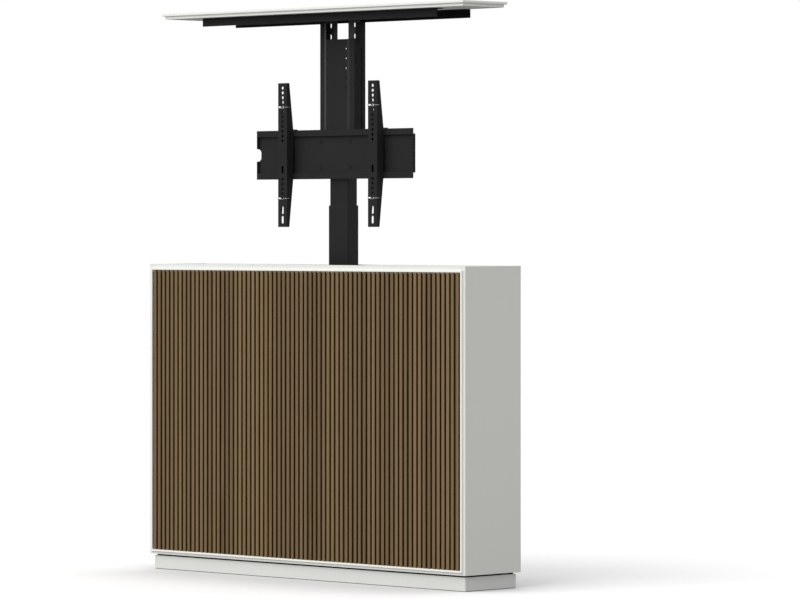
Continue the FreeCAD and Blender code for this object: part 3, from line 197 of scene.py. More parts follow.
def makeGrain(setup):
    # Upright wood grain: long streaks, thin dark pores and a tone that differs from slat to slat.
    group, given, result = newGroup(
        "woodGrain",
        [
            ("Light Colour", "NodeSocketColor", (0.3, 0.2, 0.1, 1)),
            ("Dark Colour", "NodeSocketColor", (0.1, 0.06, 0.03, 1)),
            ("Tone", "NodeSocketFloat", 0.5),
            ("Across", "NodeSocketFloat", 260.0),
            ("Along", "NodeSocketFloat", 5.0),
            ("Roughness", "NodeSocketFloat", 0.5),
        ],
        surfaceOutputs,
    )
    place = addNode(group, "ShaderNodeTexCoord").outputs["Object"]
    rise = mathNode(group, "MULTIPLY", given["Tone"], setup["toneShift"])
    shift = addNode(group, "ShaderNodeCombineXYZ", None, {"Z": rise}).outputs[0]
    stretch = addNode(group, "ShaderNodeCombineXYZ", None,
                      {"X": given["Across"], "Y": given["Across"], "Z": given["Along"]}).outputs[0]
    grainPlace = vectorNode(group, "MULTIPLY", vectorNode(group, "ADD", place, shift), stretch)
    streak = noise(group, grainPlace, 1.0, setup["streakDetail"],
                   Roughness=setup["streakRoughness"], Distortion=setup["streakWarp"])
    finePlace = addNode(group, "ShaderNodeVectorMath", {"operation": "SCALE"},
                        {0: grainPlace, "Scale": setup["poreFineness"]}).outputs[0]
    pore = noise(group, finePlace, 1.0, setup["poreDetail"], Roughness=setup["poreSoftness"])
    poreMask = remap(group, pore, setup["poreRange"], 1.0, 0.0)
    offset = mathNode(group, "SUBTRACT", given["Tone"], noiseMiddle)
    tone = mathNode(group, "MULTIPLY", offset, setup["toneStrength"])
    body = mathNode(group, "ADD", remap(group, streak, setup["streakRange"]), tone)
    held = mathNode(group, "MAXIMUM", mathNode(group, "MINIMUM", body, 1.0), 0.0)
    colour = mixColour(group, held, given["Light Colour"], given["Dark Colour"])
    poreShade = mathNode(group, "MULTIPLY", poreMask, setup["poreDarkness"])
    darker = mixColour(group, poreShade, colour, given["Dark Colour"])
    sunk = mathNode(group, "MULTIPLY", poreMask, setup["poreDepth"])
    height = mathNode(group, "SUBTRACT", streak, sunk)
    rougher = mathNode(group, "MULTIPLY", poreMask, setup["poreRoughness"])
    group.links.new(darker, result["Colour"])
    group.links.new(mathNode(group, "ADD", given["Roughness"], rougher), result["Roughness"])
    group.links.new(height, result["Height"])
    return group


drawnMakeup = {
    "squeeze": (1.0, 1.0, 0.04),
    "lineDetail": 3.0,
    "blotchScale": 60.0,
    "blotchDetail": 3.0,
    "blotchRange": (0.35, 0.7),
    "dullTint": (0.72, 0.72, 0.74, 1),
    "roughnessSpread": 0.3,
}


def makeDrawn(setup):
    # Fine drawn lines along Z, as on plated or turned steel.
    group, given, result = newGroup(
        "drawnLines",
        [
            ("Colour", "NodeSocketColor", (0.6, 0.6, 0.6, 1)),
            ("Line Scale", "NodeSocketFloat", 1500.0),
            ("Roughness", "NodeSocketFloat", 0.3),
        ],
        surfaceOutputs,
    )
    place = addNode(group, "ShaderNodeTexCoord").outputs["Object"]
    squeezed = vectorNode(group, "MULTIPLY", place, setup["squeeze"])
    lines = noise(group, squeezed, given["Line Scale"], setup["lineDetail"])
    blotch = noise(group, place, setup["blotchScale"], setup["blotchDetail"])
    dull = mixColour(group, 1.0, given["Colour"], setup["dullTint"], "MULTIPLY")
    colour = mixColour(group, remap(group, blotch, setup["blotchRange"]), given["Colour"], dull)
    offset = mathNode(group, "SUBTRACT", lines, noiseMiddle)
    rougher = mathNode(group, "MULTIPLY", offset, setup["roughnessSpread"])
    group.links.new(colour, result["Colour"])
    group.links.new(mathNode(group, "ADD", given["Roughness"], rougher), result["Roughness"])
    group.links.new(lines, result["Height"])
    return group


surfaceMottle = makeMottle(mottleMakeup)
woodGrain = makeGrain(grainMakeup)
drawnLines = makeDrawn(drawnMakeup)
print("surface effects ready")


# One entry for each finish: its surface effect with that effect's values, the bump's strength and
# distance, and the plain sockets of the shader.
finishes = {
    "whiteLacquer": {
        "group": surfaceMottle,
        "values": {"Colour": (0.79, 0.79, 0.76, 1), "Cloud Colour": (0.77, 0.77, 0.74, 1),
                   "Cloud Scale": 2.2, "Pebble Scale": 420.0,
                   "Roughness": 0.36, "Roughness Spread": 0.05},
        "bump": (0.05, 0.0004),
        "plain": {"Specular IOR Level": 0.3},
    },
    # Brighter copy of the white lacquer for the border strips: painted light on the proud strips.
    "trimLacquer": {
        "group": surfaceMottle,
        "values": {"Colour": (0.93, 0.93, 0.89, 1), "Cloud Colour": (0.91, 0.91, 0.87, 1),
                   "Cloud Scale": 3.0, "Pebble Scale": 420.0,
                   "Roughness": 0.34, "Roughness Spread": 0.05},
        "bump": (0.05, 0.0004),
        "plain": {"Specular IOR Level": 0.3},
    },
    # Brighter copy of the white lacquer for the lid's sides: painted light.
    "lidLacquer": {
        "group": surfaceMottle,
        "values": {"Colour": (0.885, 0.885, 0.85, 1), "Cloud Colour": (0.865, 0.865, 0.83, 1),
                   "Cloud Scale": 2.2, "Pebble Scale": 420.0,
                   "Roughness": 0.34, "Roughness Spread": 0.05},
        "bump": (0.05, 0.0004),
        "plain": {"Specular IOR Level": 0.3},
    },
    # Darker, matt coat for the lid's underside: painted shade.
    "lidBase": {
        "group": surfaceMottle,
        "values": {"Colour": (0.72, 0.72, 0.7, 1), "Cloud Colour": (0.69, 0.69, 0.67, 1),
                   "Cloud Scale": 2.6, "Pebble Scale": 380.0,
                   "Roughness": 0.7, "Roughness Spread": 0.06},
        "bump": (0.06, 0.0004),
        "plain": {"Specular IOR Level": 0.06},
    },
    # Near-black paint for the plinth's recesses: painted shade.
    "gapShade": {
        "group": surfaceMottle,
        "values": {"Colour": (0.03, 0.032, 0.03, 1), "Cloud Colour": (0.024, 0.026, 0.024, 1),
                   "Cloud Scale": 12.0, "Pebble Scale": 380.0,
                   "Roughness": 0.8, "Roughness Spread": 0.06},
        "bump": (0.06, 0.0004),
        "plain": {"Specular IOR Level": 0.05},
    },
    # Slightly darker copy of the white lacquer for the plinth: painted shade under the carcass
    # overhang.
    "plinthLacquer": {
        "group": surfaceMottle,
        "values": {"Colour": (0.76, 0.77, 0.74, 1), "Cloud Colour": (0.74, 0.75, 0.72, 1),
                   "Cloud Scale": 2.6, "Pebble Scale": 380.0,
                   "Roughness": 0.42, "Roughness Spread": 0.06},
        "bump": (0.06, 0.0004),
        "plain": {"Specular IOR Level": 0.25},
    },
    "slatWood": {
        "group": woodGrain,
        "values": {"Light Colour": (0.248, 0.164, 0.073, 1),
                   "Dark Colour": (0.088, 0.05, 0.015, 1),
                   "Across": 240.0, "Along": 4.5, "Roughness": 0.52},
        "bump": (0.35, 0.0005),
        "tone": "slatTone",
        "plain": {"Specular IOR Level": 0.25},
    },
    # Darker wood for the slats' flanks: painted shade between the slats.
    "slatFlank": {
        "group": woodGrain,
        "values": {"Light Colour": (0.075, 0.046, 0.016, 1),
                   "Dark Colour": (0.028, 0.015, 0.004, 1),
                   "Across": 240.0, "Along": 4.5, "Roughness": 0.6},
        "bump": (0.3, 0.0005),
        "tone": "slatTone",
        "plain": {"Specular IOR Level": 0.1},
    },
    # The backing board's own dark stain, painted darker still as painted shade in the gaps between
    # the slats.
    "darkBoard": {
        "group": woodGrain,
        "values": {"Light Colour": (0.012, 0.005, 0.0004, 1),
                   "Dark Colour": (0.006, 0.0025, 0.0002, 1),
                   "Across": 160.0, "Along": 3.0, "Roughness": 0.7},
        "bump": (0.2, 0.0004),
        "plain": {"Specular IOR Level": 0.15},
    },
    "blackPowderCoat": {
        "group": surfaceMottle,
        "values": {"Colour": (0.0255, 0.0255, 0.0259, 1),
                   "Cloud Colour": (0.0238, 0.0238, 0.0242, 1),
                   "Cloud Scale": 9.0, "Pebble Scale": 1900.0,
                   "Roughness": 0.45, "Roughness Spread": 0.1},
        "bump": (0.25, 0.0002),
        "plain": {"Specular IOR Level": 0.02},
    },
    # Darker copy of the powder coat for the rear lid rail: painted shade under the lid.
    "rearRailCoat": {
        "group": surfaceMottle,
        "values": {"Colour": (0.006, 0.006, 0.0062, 1), "Cloud Colour": (0.005, 0.005, 0.0052, 1),
                   "Cloud Scale": 9.0, "Pebble Scale": 1900.0,
                   "Roughness": 0.5, "Roughness Spread": 0.1},
        "bump": (0.25, 0.0002),
        "plain": {"Specular IOR Level": 0.04},
    },
    # Brighter, glossier copy of the powder coat for the mast's left rib flank: painted highlight.
    "flankCoat": {
        "group": surfaceMottle,
        "values": {"Colour": (0.052, 0.052, 0.053, 1), "Cloud Colour": (0.045, 0.045, 0.046, 1),
                   "Cloud Scale": 9.0, "Pebble Scale": 1900.0,
                   "Roughness": 0.36, "Roughness Spread": 0.1},
        "bump": (0.25, 0.0002),
        "plain": {"Specular IOR Level": 0.12},
    },
    # Glossier copy of the powder coat for the mast's right rib flank: painted sheen.
    "farFlankCoat": {
        "group": surfaceMottle,
        "values": {"Colour": (0.027, 0.027, 0.028, 1), "Cloud Colour": (0.022, 0.022, 0.023, 1),
                   "Cloud Scale": 9.0, "Pebble Scale": 1900.0,
                   "Roughness": 0.38, "Roughness Spread": 0.1},
        "bump": (0.25, 0.0002),
        "plain": {"Specular IOR Level": 0.1},
    },
    # Lighter copy of the powder coat for the lid bracket: painted light in the shade under the lid.
    "bracketCoat": {
        "group": surfaceMottle,
        "values": {"Colour": (0.055, 0.055, 0.056, 1), "Cloud Colour": (0.045, 0.045, 0.046, 1),
                   "Cloud Scale": 9.0, "Pebble Scale": 1900.0,
                   "Roughness": 0.4, "Roughness Spread": 0.1},
        "bump": (0.25, 0.0002),
        "plain": {"Specular IOR Level": 0.12},
    },
    "columnCoat": {
        "group": surfaceMottle,
        "values": {"Colour": (0.0032, 0.0032, 0.0033, 1),
                   "Cloud Colour": (0.0026, 0.0026, 0.0027, 1),
                   "Cloud Scale": 7.0, "Pebble Scale": 1500.0,
                   "Roughness": 0.42, "Roughness Spread": 0.1},
        "bump": (0.15, 0.0002),
        "plain": {"Specular IOR Level": 0.155},
    },
    "zincSteel": {
        "group": drawnLines,
        "values": {"Colour": (0.62, 0.62, 0.6, 1), "Line Scale": 1400.0, "Roughness": 0.3},
        "bump": (0.1, 0.0001),
        "plain": {"Metallic": 1.0},
    },
    "blackBolt": {
        "group": surfaceMottle,
        "values": {"Colour": (0.015, 0.015, 0.016, 1), "Cloud Colour": (0.018, 0.018, 0.018, 1),
                   "Cloud Scale": 90.0, "Pebble Scale": 2500.0,
                   "Roughness": 0.45, "Roughness Spread": 0.1},
        "bump": (0.1, 0.0001),
        "plain": {"Specular IOR Level": 0.05},
    },
    "spindleSteel": {
        "group": drawnLines,
        "values": {"Colour": (0.5, 0.5, 0.51, 1), "Line Scale": 900.0, "Roughness": 0.26},
        "bump": (0.1, 0.0001),
        "plain": {"Metallic": 1.0},
    },
    "motorSteel": {
        "group": drawnLines,
        "values": {"Colour": (0.55, 0.55, 0.53, 1), "Line Scale": 700.0, "Roughness": 0.36},
        "bump": (0.1, 0.0001),
        "plain": {"Metallic": 1.0},
    },
    "nutPlastic": {
        "group": surfaceMottle,
        "values": {"Colour": (0.6, 0.58, 0.52, 1), "Cloud Colour": (0.55, 0.53, 0.47, 1),
                   "Cloud Scale": 30.0, "Pebble Scale": 1200.0,
                   "Roughness": 0.45, "Roughness Spread": 0.08},
        "bump": (0.05, 0.0002),
        "plain": {},
    },
    "blackPlastic": {
        "group": surfaceMottle,
        "values": {"Colour": (0.012, 0.012, 0.012, 1), "Cloud Colour": (0.015, 0.015, 0.015, 1),
                   "Cloud Scale": 20.0, "Pebble Scale": 2200.0,
                   "Roughness": 0.5, "Roughness Spread": 0.15},
        "bump": (0.2, 0.0002),
        "plain": {"Specular IOR Level": 0.12},
    },
    "padRubber": {
        "group": surfaceMottle,
        "values": {"Colour": (0.1, 0.1, 0.1, 1), "Cloud Colour": (0.12, 0.12, 0.12, 1),
                   "Cloud Scale": 60.0, "Pebble Scale": 1600.0,
                   "Roughness": 0.75, "Roughness Spread": 0.1},
        "bump": (0.2, 0.0003),
        "plain": {"Specular IOR Level": 0.3},
    },
}


def makeMaterial(name, finish):
    material = bpy.data.materials.new(name)
    material.use_nodes = True
    tree = material.node_tree
    shader = tree.nodes["Principled BSDF"]
    for socket, value in finish["plain"].items():
        shader.inputs[socket].default_value = value
    group = addNode(tree, "ShaderNodeGroup", {"node_tree": finish["group"]}, finish["values"])
    if "tone" in finish:
        tone = addNode(tree, "ShaderNodeAttribute", {"attribute_name": finish["tone"]})
        tree.links.new(tone.outputs["Fac"], group.inputs["Tone"])
    strength, distance = finish["bump"]
    bump = addNode(tree, "ShaderNodeBump", None,
                   {"Strength": strength, "Distance": distance, "Height": group.outputs["Height"]})
    tree.links.new(group.outputs["Colour"], shader.inputs["Base Color"])
    tree.links.new(group.outputs["Roughness"], shader.inputs["Roughness"])
    tree.links.new(bump.outputs["Normal"], shader.inputs["Normal"])
    return material


materials = {name: makeMaterial(name, finish) for name, finish in finishes.items()}
materialOfSlot = {
    "white_lacquer": "whiteLacquer",
    "slat_wood": "slatWood",
    "dark_board": "darkBoard",
    "black_powder_coat": "blackPowderCoat",
    "column_coat": "columnCoat",
    "zinc_steel": "zincSteel",
    "black_bolts": "blackBolt",
    "spindle_steel": "spindleSteel",
    "nut_plastic": "nutPlastic",
    "motor_steel": "motorSteel",
    "black_plastic": "blackPlastic",
    "felt_grey_rubber": "padRubber",
}
for nodeName, cadPiece in frame["nodes"].items():
    for materialSlot in cadPiece.material_slots:
        materialSlot.material = materials[materialOfSlot[slotOf[nodeName]]]
print("materials ready:", len(materials))


# Studio: world, key light and floor.
studio = {
    "skyLight": 0.77,
    "shownSky": 1.0,
    "keyStrength": 1.75,
    "keySoftness": 70.0,
    "keyFrom": (-0.11, -0.45, 0.31),
    "floorSize": 120.0,
    "floorDrop": 0.2 * mm,
    "floorTone": 0.225,
    "shownFloorTone": 0.98,
    "shownFloorGlow": 0.075,
    "contactReach": 0.45,
    "contactRange": (0.5, 1.0),
    "contactTone": 0.68,
}


def backdropRays(tree):
    # 1 for rays that should see the white backdrop: the camera's, and those seen in gloss or glass.
    rays = addNode(tree, "ShaderNodeLightPath").outputs
    seen = mathNode(tree, "MAXIMUM", rays["Is Camera Ray"], rays["Is Glossy Ray"])
    return mathNode(tree, "MAXIMUM", seen, rays["Is Transmission Ray"])


def makeStudio(setup):
    scene = bpy.context.scene
    scene.view_settings.view_transform = "Standard"
    world = bpy.data.worlds.new("studioWorld")
    world.use_nodes = True
    scene.world = world
    tree = world.node_tree
    tree.nodes.clear()
    plainWhite = (1.0, 1.0, 1.0, 1.0)
    sky = addNode(tree, "ShaderNodeBackground", None,
                  {"Color": plainWhite, "Strength": setup["skyLight"]})
    white = addNode(tree, "ShaderNodeBackground", None,
                    {"Color": plainWhite, "Strength": setup["shownSky"]})
    mix = addNode(tree, "ShaderNodeMixShader", None,
                  {0: backdropRays(tree), 1: sky.outputs[0], 2: white.outputs[0]})
    out = addNode(tree, "ShaderNodeOutputWorld")
    tree.links.new(mix.outputs[0], out.inputs["Surface"])

    key = bpy.data.lights.new("keyLight", "SUN")
    key.energy = setup["keyStrength"]
    key.angle = math.radians(setup["keySoftness"])
    keyObject = bpy.data.objects.new("keyLight", key)
    keyObject.rotation_mode = "QUATERNION"
    keyObject.rotation_quaternion = Vector(setup["keyFrom"]).to_track_quat("Z", "Y")
    bpy.context.collection.objects.link(keyObject)

    half = setup["floorSize"] / 2
    mesh = bpy.data.meshes.new("studioFloor")
    corners = [(-half, -half), (half, -half), (half, half), (-half, half)]
    mesh.from_pydata([(x, y, -setup["floorDrop"]) for x, y in corners], [], [(0, 1, 2, 3)])
    floor = bpy.data.objects.new("studioFloor", mesh)
    bpy.context.collection.objects.link(floor)

    paint = bpy.data.materials.new("floorPaint")
    paint.use_nodes = True
    tree = paint.node_tree
    tree.nodes.clear()
    tone = setup["floorTone"]
    shown = setup["shownFloorTone"]
    plain = addNode(tree, "ShaderNodeBsdfDiffuse", None, {"Color": (tone, tone, tone, 1)})
    # The shown floor is painted darker close round the plinth: a painted contact shadow from an
    # ambient occlusion node.
    close = addNode(tree, "ShaderNodeAmbientOcclusion", None, {"Distance": setup["contactReach"]})
    fade = remap(tree, close.outputs["AO"], setup["contactRange"])
    shadowedShown = shown * setup["contactTone"]
    shownColour = mixColour(tree, fade, (shadowedShown, shadowedShown, shadowedShown, 1), (shown, shown, shown, 1))
    bright = addNode(tree, "ShaderNodeBsdfDiffuse", None, {"Color": shownColour})
    glow = addNode(tree, "ShaderNodeEmission", None, {"Strength": setup["shownFloorGlow"]})
    both = addNode(tree, "ShaderNodeAddShader", None, {0: bright.outputs[0], 1: glow.outputs[0]})
    mix = addNode(tree, "ShaderNodeMixShader", None,
                  {0: backdropRays(tree), 1: plain.outputs[0], 2: both.outputs[0]})
    out = addNode(tree, "ShaderNodeOutputMaterial")
    tree.links.new(mix.outputs[0], out.inputs["Surface"])
    mesh.materials.append(paint)


makeStudio(studio)
print("studio ready")


# Mesh helpers.
meshCare = {
    "mergeWithin": 0.001 * mm,
    "flatWithin": math.radians(0.6),
    "sharpAbove": math.radians(35.0),
    "smoothBelow": 40.0,
    "normalWeight": 80,
    "bevelProfile": 0.6,
    "footBand": 0.01 * mm,
}


def finishMesh(bm, name, materialName, smoothBelow=meshCare["smoothBelow"]):
    # Smooth shading, kept crisp where two faces meet at more than the given angle.
    limit = math.radians(smoothBelow)
    for edge in bm.edges:
        edge.smooth = len(edge.link_faces) == 2 and edge.calc_face_angle(0.0) < limit
    for face in bm.faces:
        face.smooth = True
    mesh = bpy.data.meshes.new(name)
    bm.to_mesh(mesh)
    bm.free()
    mesh.materials.append(materials[materialName])
    piece = bpy.data.objects.new(name, mesh)
    bpy.context.collection.objects.link(piece)
    return piece


def weighNormals(piece):
    weigh = piece.modifiers.new("weighNormals", "WEIGHTED_NORMAL")
    weigh.keep_sharp = True
    weigh.weight = meshCare["normalWeight"]


def standFor(piece, *nodes):
    first = nodes[0]
    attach(piece, bodyOf[first])
    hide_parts(*nodes)


def nodeMesh(nodeName):
    bm = bmesh.new()
    bm.from_mesh(frame["nodes"][nodeName].data)
    bmesh.ops.remove_doubles(bm, verts=bm.verts[:], dist=meshCare["mergeWithin"])
    bmesh.ops.dissolve_limit(bm, angle_limit=meshCare["flatWithin"], verts=bm.verts[:],
                             edges=bm.edges[:])
    return bm


def extent(points):
    return Vector(map(min, zip(*points))), Vector(map(max, zip(*points)))


def bevel(bm, edges, width, segments, profile=meshCare["bevelProfile"]):
    bmesh.ops.bevel(bm, geom=edges, offset=width, offset_type="OFFSET", segments=segments,
                    profile=profile, affect="EDGES", clamp_overlap=True)


def uprightEdges(bm, shortest):
    return [edge for edge in bm.edges if abs(edge.verts[0].co.z - edge.verts[1].co.z) > shortest]


def softenEdges(bm, width, segments, shortest, below=math.inf):
    edges = [
        edge
        for edge in bm.edges
        if len(edge.link_faces) == 2
        and edge.calc_face_angle(0.0) > meshCare["sharpAbove"]
        and edge.calc_length() > shortest
        and max(vert.co.z for vert in edge.verts) < below
    ]
    bevel(bm, edges, width, segments)


def skin(bm, loops, closed=False):
    # Quads between neighbouring loops of the same length; open rows get end faces.
    pairs = zip(loops, loops[1:] + loops[:1]) if closed else zip(loops, loops[1:])
    for below, above in pairs:
        for i in range(len(below)):
            j = (i + 1) % len(below)
            bm.faces.new((below[i], below[j], above[j], above[i]))
    if not closed:
        bm.faces.new(loops[0][::-1])
        bm.faces.new(loops[-1])


everySide = ((-1, 0), (1, 0), (0, -1), (0, 1))


def stackLevels(bm, low, high, levels, openSides=everySide):
    # A block whose outline is drawn in by an inset at each level, on its open sides only.
    loops = []
    for z, inset in levels:
        x0 = low.x + inset * ((-1, 0) in openSides)
        x1 = high.x - inset * ((1, 0) in openSides)
        y0 = low.y + inset * ((0, -1) in openSides)
        y1 = high.y - inset * ((0, 1) in openSides)
        loops.append([bm.verts.new((x, y, z)) for x, y in ((x0, y0), (x1, y0), (x1, y1), (x0, y1))])
    skin(bm, loops)


def axisFrame(at, direction):
    # Local Z runs along direction, from the point at.
    turn = Vector(direction).to_track_quat("Z", "Y").to_matrix().to_4x4()
    return Matrix.Translation(at) @ turn


def turnRings(bm, rings, where, segments, closed=False):
    # Rings are pairs of height and radius. A radius may be a function of the angle and height.
    loops = []
    for height, radius in rings:
        loop = []
        for i in range(segments):
            angle = 2 * math.pi * i / segments
            reach = radius(angle, height) if callable(radius) else radius
            spot = Vector((reach * math.cos(angle), reach * math.sin(angle), height))
            loop.append(bm.verts.new(where @ spot))
        loops.append(loop)
    skin(bm, loops, closed)


def hexagon(across):
    # A ring radius that traces a hexagon of this width across its flats.
    sixth = math.pi / 3
    return lambda angle, height: across / 2 / math.cos((angle + sixth / 2) % sixth - sixth / 2)


def islands(bm):
    # The separate solids of a mesh, as lists of points, in the order of its vertices.
    seen = set()
    found = []
    for seed in bm.verts:
        if seed in seen:
            continue
        seen.add(seed)
        queue = [seed]
        solid = []
        while queue:
            vert = queue.pop()
            solid.append(vert.co.copy())
            for edge in vert.link_edges:
                other = edge.other_vert(vert)
                if other not in seen:
                    seen.add(other)
                    queue.append(other)
        found.append(solid)
    return found


def camel(nodeName):
    first, *rest = nodeName.split("_")
    return first + "".join(word.capitalize() for word in rest)


def softPiece(nodeName, width, segments, shortest, footWidth=0.0):
    # The CAD node with its long edges eased, those along its foot by more where footWidth is given.
    bm = nodeMesh(nodeName)
    if footWidth:
        foot = min(vert.co.z for vert in bm.verts)
        softenEdges(bm, footWidth, segments + 1, shortest, foot + meshCare["footBand"])
    softenEdges(bm, width, segments, shortest)
    piece = finishMesh(bm, camel(nodeName), materialOfSlot[slotOf[nodeName]])
    weighNormals(piece)
    standFor(piece, nodeName)


# Boards, column and steelwork with eased edges: bevel width, its segments, shortest edge that gets
# one, and a wider bevel for the edges along the foot.
easedEdges = {
    "side_panel_left": (1.0 * mm, 3, 0),
    "side_panel_right": (1.0 * mm, 3, 0),
    "top_rail_front": (0.6 * mm, 2, 5 * mm),
    "top_rail_rear": (0.6 * mm, 2, 20 * mm),
    "top_rail_left": (0.6 * mm, 2, 5 * mm),
    "top_rail_right": (0.6 * mm, 2, 5 * mm),
    "lid_top": (0.6 * mm, 2, 0, 2.2 * mm),
    "lid_liner": (0.8 * mm, 2, 6 * mm),
    "back_panel": (0.6 * mm, 2, 9 * mm),
    "bottom_panel": (0.6 * mm, 2, 12 * mm),
    "mast_channel": (0.5 * mm, 2, 40 * mm),
    "cross_plate": (0.5 * mm, 2, 60 * mm),
    "arm_left": (0.6 * mm, 2, 60 * mm),
    "arm_right": (0.6 * mm, 2, 60 * mm),
    "lid_rail_front": (0.4 * mm, 2, 20 * mm, 1.0 * mm),
    "lid_rail_rear": (0.4 * mm, 2, 20 * mm, 1.0 * mm),
    "lid_bracket": (0.6 * mm, 2, 50 * mm),
    "head_bracket": (0.8 * mm, 2, 25 * mm),
    "rear_bracket": (0.6 * mm, 2, 20 * mm),
    "lift_foot_plate": (1.0 * mm, 2, 50 * mm),
    "front_backing_board": (0.5 * mm, 2, 0),
    "base_glide": (0.5 * mm, 2, 0),
    "mid_glide": (0.5 * mm, 2, 0),
    "mid_nut": (0.5 * mm, 2, 10 * mm),
    "inner_nut": (0.5 * mm, 2, 10 * mm),
    "lid_bumpers": (0.4 * mm, 2, 0),
    "arm_latch_left": (0.6 * mm, 2, 10 * mm),
    "arm_latch_right": (0.6 * mm, 2, 10 * mm),
}
for nodeName, easing in easedEdges.items():
    softPiece(nodeName, *easing)
print("eased pieces ready:", len(easedEdges))


# Special coats, several of them painted light and shade.
specialCoats = {
    # Whole coats here include painted light and shade: the lid's brighter lacquer, the rear rail's
    # darker coat and the bracket's lighter coat.
    "whole": {"lidTop": "lidLacquer", "lidLiner": "lidLacquer", "lidRailRear": "rearRailCoat",
              "lidBracket": "bracketCoat"},
    "squarely": 0.9,
    "flankTilt": (0.15, 0.35),
}


def coatFaces(name, coat, wanted):
    # A further coat on the faces whose normal passes the test.
    mesh = bpy.data.objects[name].data
    mesh.materials.append(materials[coat])
    for face in mesh.polygons:
        if wanted(face.normal):
            face.material_index = len(mesh.materials) - 1


def giveSpecialCoats(setup):
    for name, coat in setup["whole"].items():
        bpy.data.objects[name].data.materials[0] = materials[coat]
    squarely = setup["squarely"]
    least, most = setup["flankTilt"]
    # The lid's sides get a brighter lacquer as painted light, its top matches the rails round it,
    # and its underside gets a darker matt coat as painted shade.
    coatFaces("lidTop", "whiteLacquer", lambda normal: normal.z > squarely)
    coatFaces("lidLiner", "lidBase", lambda normal: normal.z < -squarely)
    # The mast's sloped rib flanks get brighter, glossier coats as painted highlights, most of all
    # the left one.
    coatFaces("mastChannel", "flankCoat",
              lambda normal: normal.y < -squarely and least < -normal.x < most)
    coatFaces("mastChannel", "farFlankCoat",
              lambda normal: normal.y < -squarely and least < normal.x < most)


giveSpecialCoats(specialCoats)
print("special coats ready")


# Border strips and plinth.
trims = {
    "nodes": ("trim_left", "trim_right", "trim_top", "trim_bottom"),
    "roundover": 0.8 * mm,
    "segments": 2,
    "shortest": 0,
}


def makeTrims(setup):
    for nodeName in setup["nodes"]:
        bm = nodeMesh(nodeName)
        softenEdges(bm, setup["roundover"], setup["segments"], setup["shortest"])
        # The strips get the brighter lacquer, painted light.
        piece = finishMesh(bm, camel(nodeName), "trimLacquer")
        weighNormals(piece)
        standFor(piece, nodeName)


# Each plinth board has the sides that stand free, as directions in x and y.
plinth = {
    "boards": {
        "plinth_front": ((-1, 0), (1, 0), (0, -1)),
        "plinth_rear": ((-1, 0), (1, 0), (0, 1)),
        "plinth_left": ((-1, 0),),
        "plinth_right": ((1, 0),),
    },
    "gapHeight": 5.5 * mm,
    "gapDepth": 6.0 * mm,
    "footGap": 1.6 * mm,
    "footDepth": 2.0 * mm,
    "roundover": 0.5 * mm,
    "segments": 2,
    "shortest": 30 * mm,
    "shadeMargin": 0.01 * mm,
}


def makePlinthBoard(nodeName, openSides, setup):
    # A board with a shadow gap under the carcass and a small rebate at the floor, both recesses
    # painted near-black as painted shade.
    low, high = (Vector(corner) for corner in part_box(nodeName))
    gap = high.z - setup["gapHeight"]
    foot = low.z + setup["footGap"]
    levels = [
        (low.z, setup["footDepth"]),
        (foot, setup["footDepth"]),
        (foot, 0),
        (gap, 0),
        (gap, setup["gapDepth"]),
        (high.z, setup["gapDepth"]),
    ]
    bm = bmesh.new()
    stackLevels(bm, low, high, levels, openSides)
    bevel(bm, uprightEdges(bm, setup["shortest"]), setup["roundover"], setup["segments"])
    # The plinth gets the darker lacquer, painted shade.
    piece = finishMesh(bm, camel(nodeName), "plinthLacquer")
    # The faces inside the top gap and the foot rebate are painted near-black, painted shade.
    piece.data.materials.append(materials["gapShade"])
    margin = setup["shadeMargin"]
    for face in piece.data.polygons:
        heights = [piece.data.vertices[i].co.z for i in face.vertices]
        if min(heights) > gap - margin or max(heights) < foot + margin:
            face.material_index = 1
    standFor(piece, nodeName)


makeTrims(trims)
for nodeName, openSides in plinth["boards"].items():
    makePlinthBoard(nodeName, openSides, plinth)
print("border strips and plinth ready")


# Slats.
slats = {
    "pitch": 19.7 * mm,
    "roundover": 0.25 * mm,
    "segments": 1,
    "shortest": 100 * mm,
    "squarely": 0.9,
    "toneSeed": 11,
}


def makeSlats(setup):
    # The slats of the CAD node with eased long edges and flanks painted darker as painted shade
    # between the slats, each slat with its own wood tone.
    bm = nodeMesh("front_slats")
    softenEdges(bm, setup["roundover"], setup["segments"], setup["shortest"])
    tone = bm.verts.layers.float.new("slatTone")
    chance = random.Random(setup["toneSeed"])
    # The slats' middles lie half a pitch off whole pitches from the centre.
    bars = {}
    for vert in bm.verts:
        bars.setdefault(round(vert.co.x / setup["pitch"] + 0.5), []).append(vert)
    for number in sorted(bars):
        value = chance.random()
        for vert in bars[number]:
            vert[tone] = value
    piece = finishMesh(bm, "slattedFront", "slatWood")
    piece.data.materials.append(materials["slatFlank"])
    for face in piece.data.polygons:
        face.material_index = int(abs(face.normal.x) > setup["squarely"])
    standFor(piece, "front_slats")


makeSlats(slats)
print("slats ready")


# Bolts and screws. A profile gives heights and radii as shares of the whole.
fasteners = {
    "nodes": ("mast_side_bolts", "cross_plate_bolts", "lid_bracket_bolts", "lid_rail_screws",
              "panel_screws", "foot_plate_bolts", "arm_latch_screw_left", "arm_latch_screw_right"),
    "segments": 24,
    "threadPitch": 1.6 * mm,
    "threadDepth": 0.12,
    "tipShare": 0.8,
    "rimShare": 0.95,
    "headProfile": ((0, 0.97), (0.12, 1.0), (0.5, 0.95), (0.85, 0.8), (1.0, 0.62)),
    "socketAcross": 0.95,
    "socketDepth": 0.7,
}


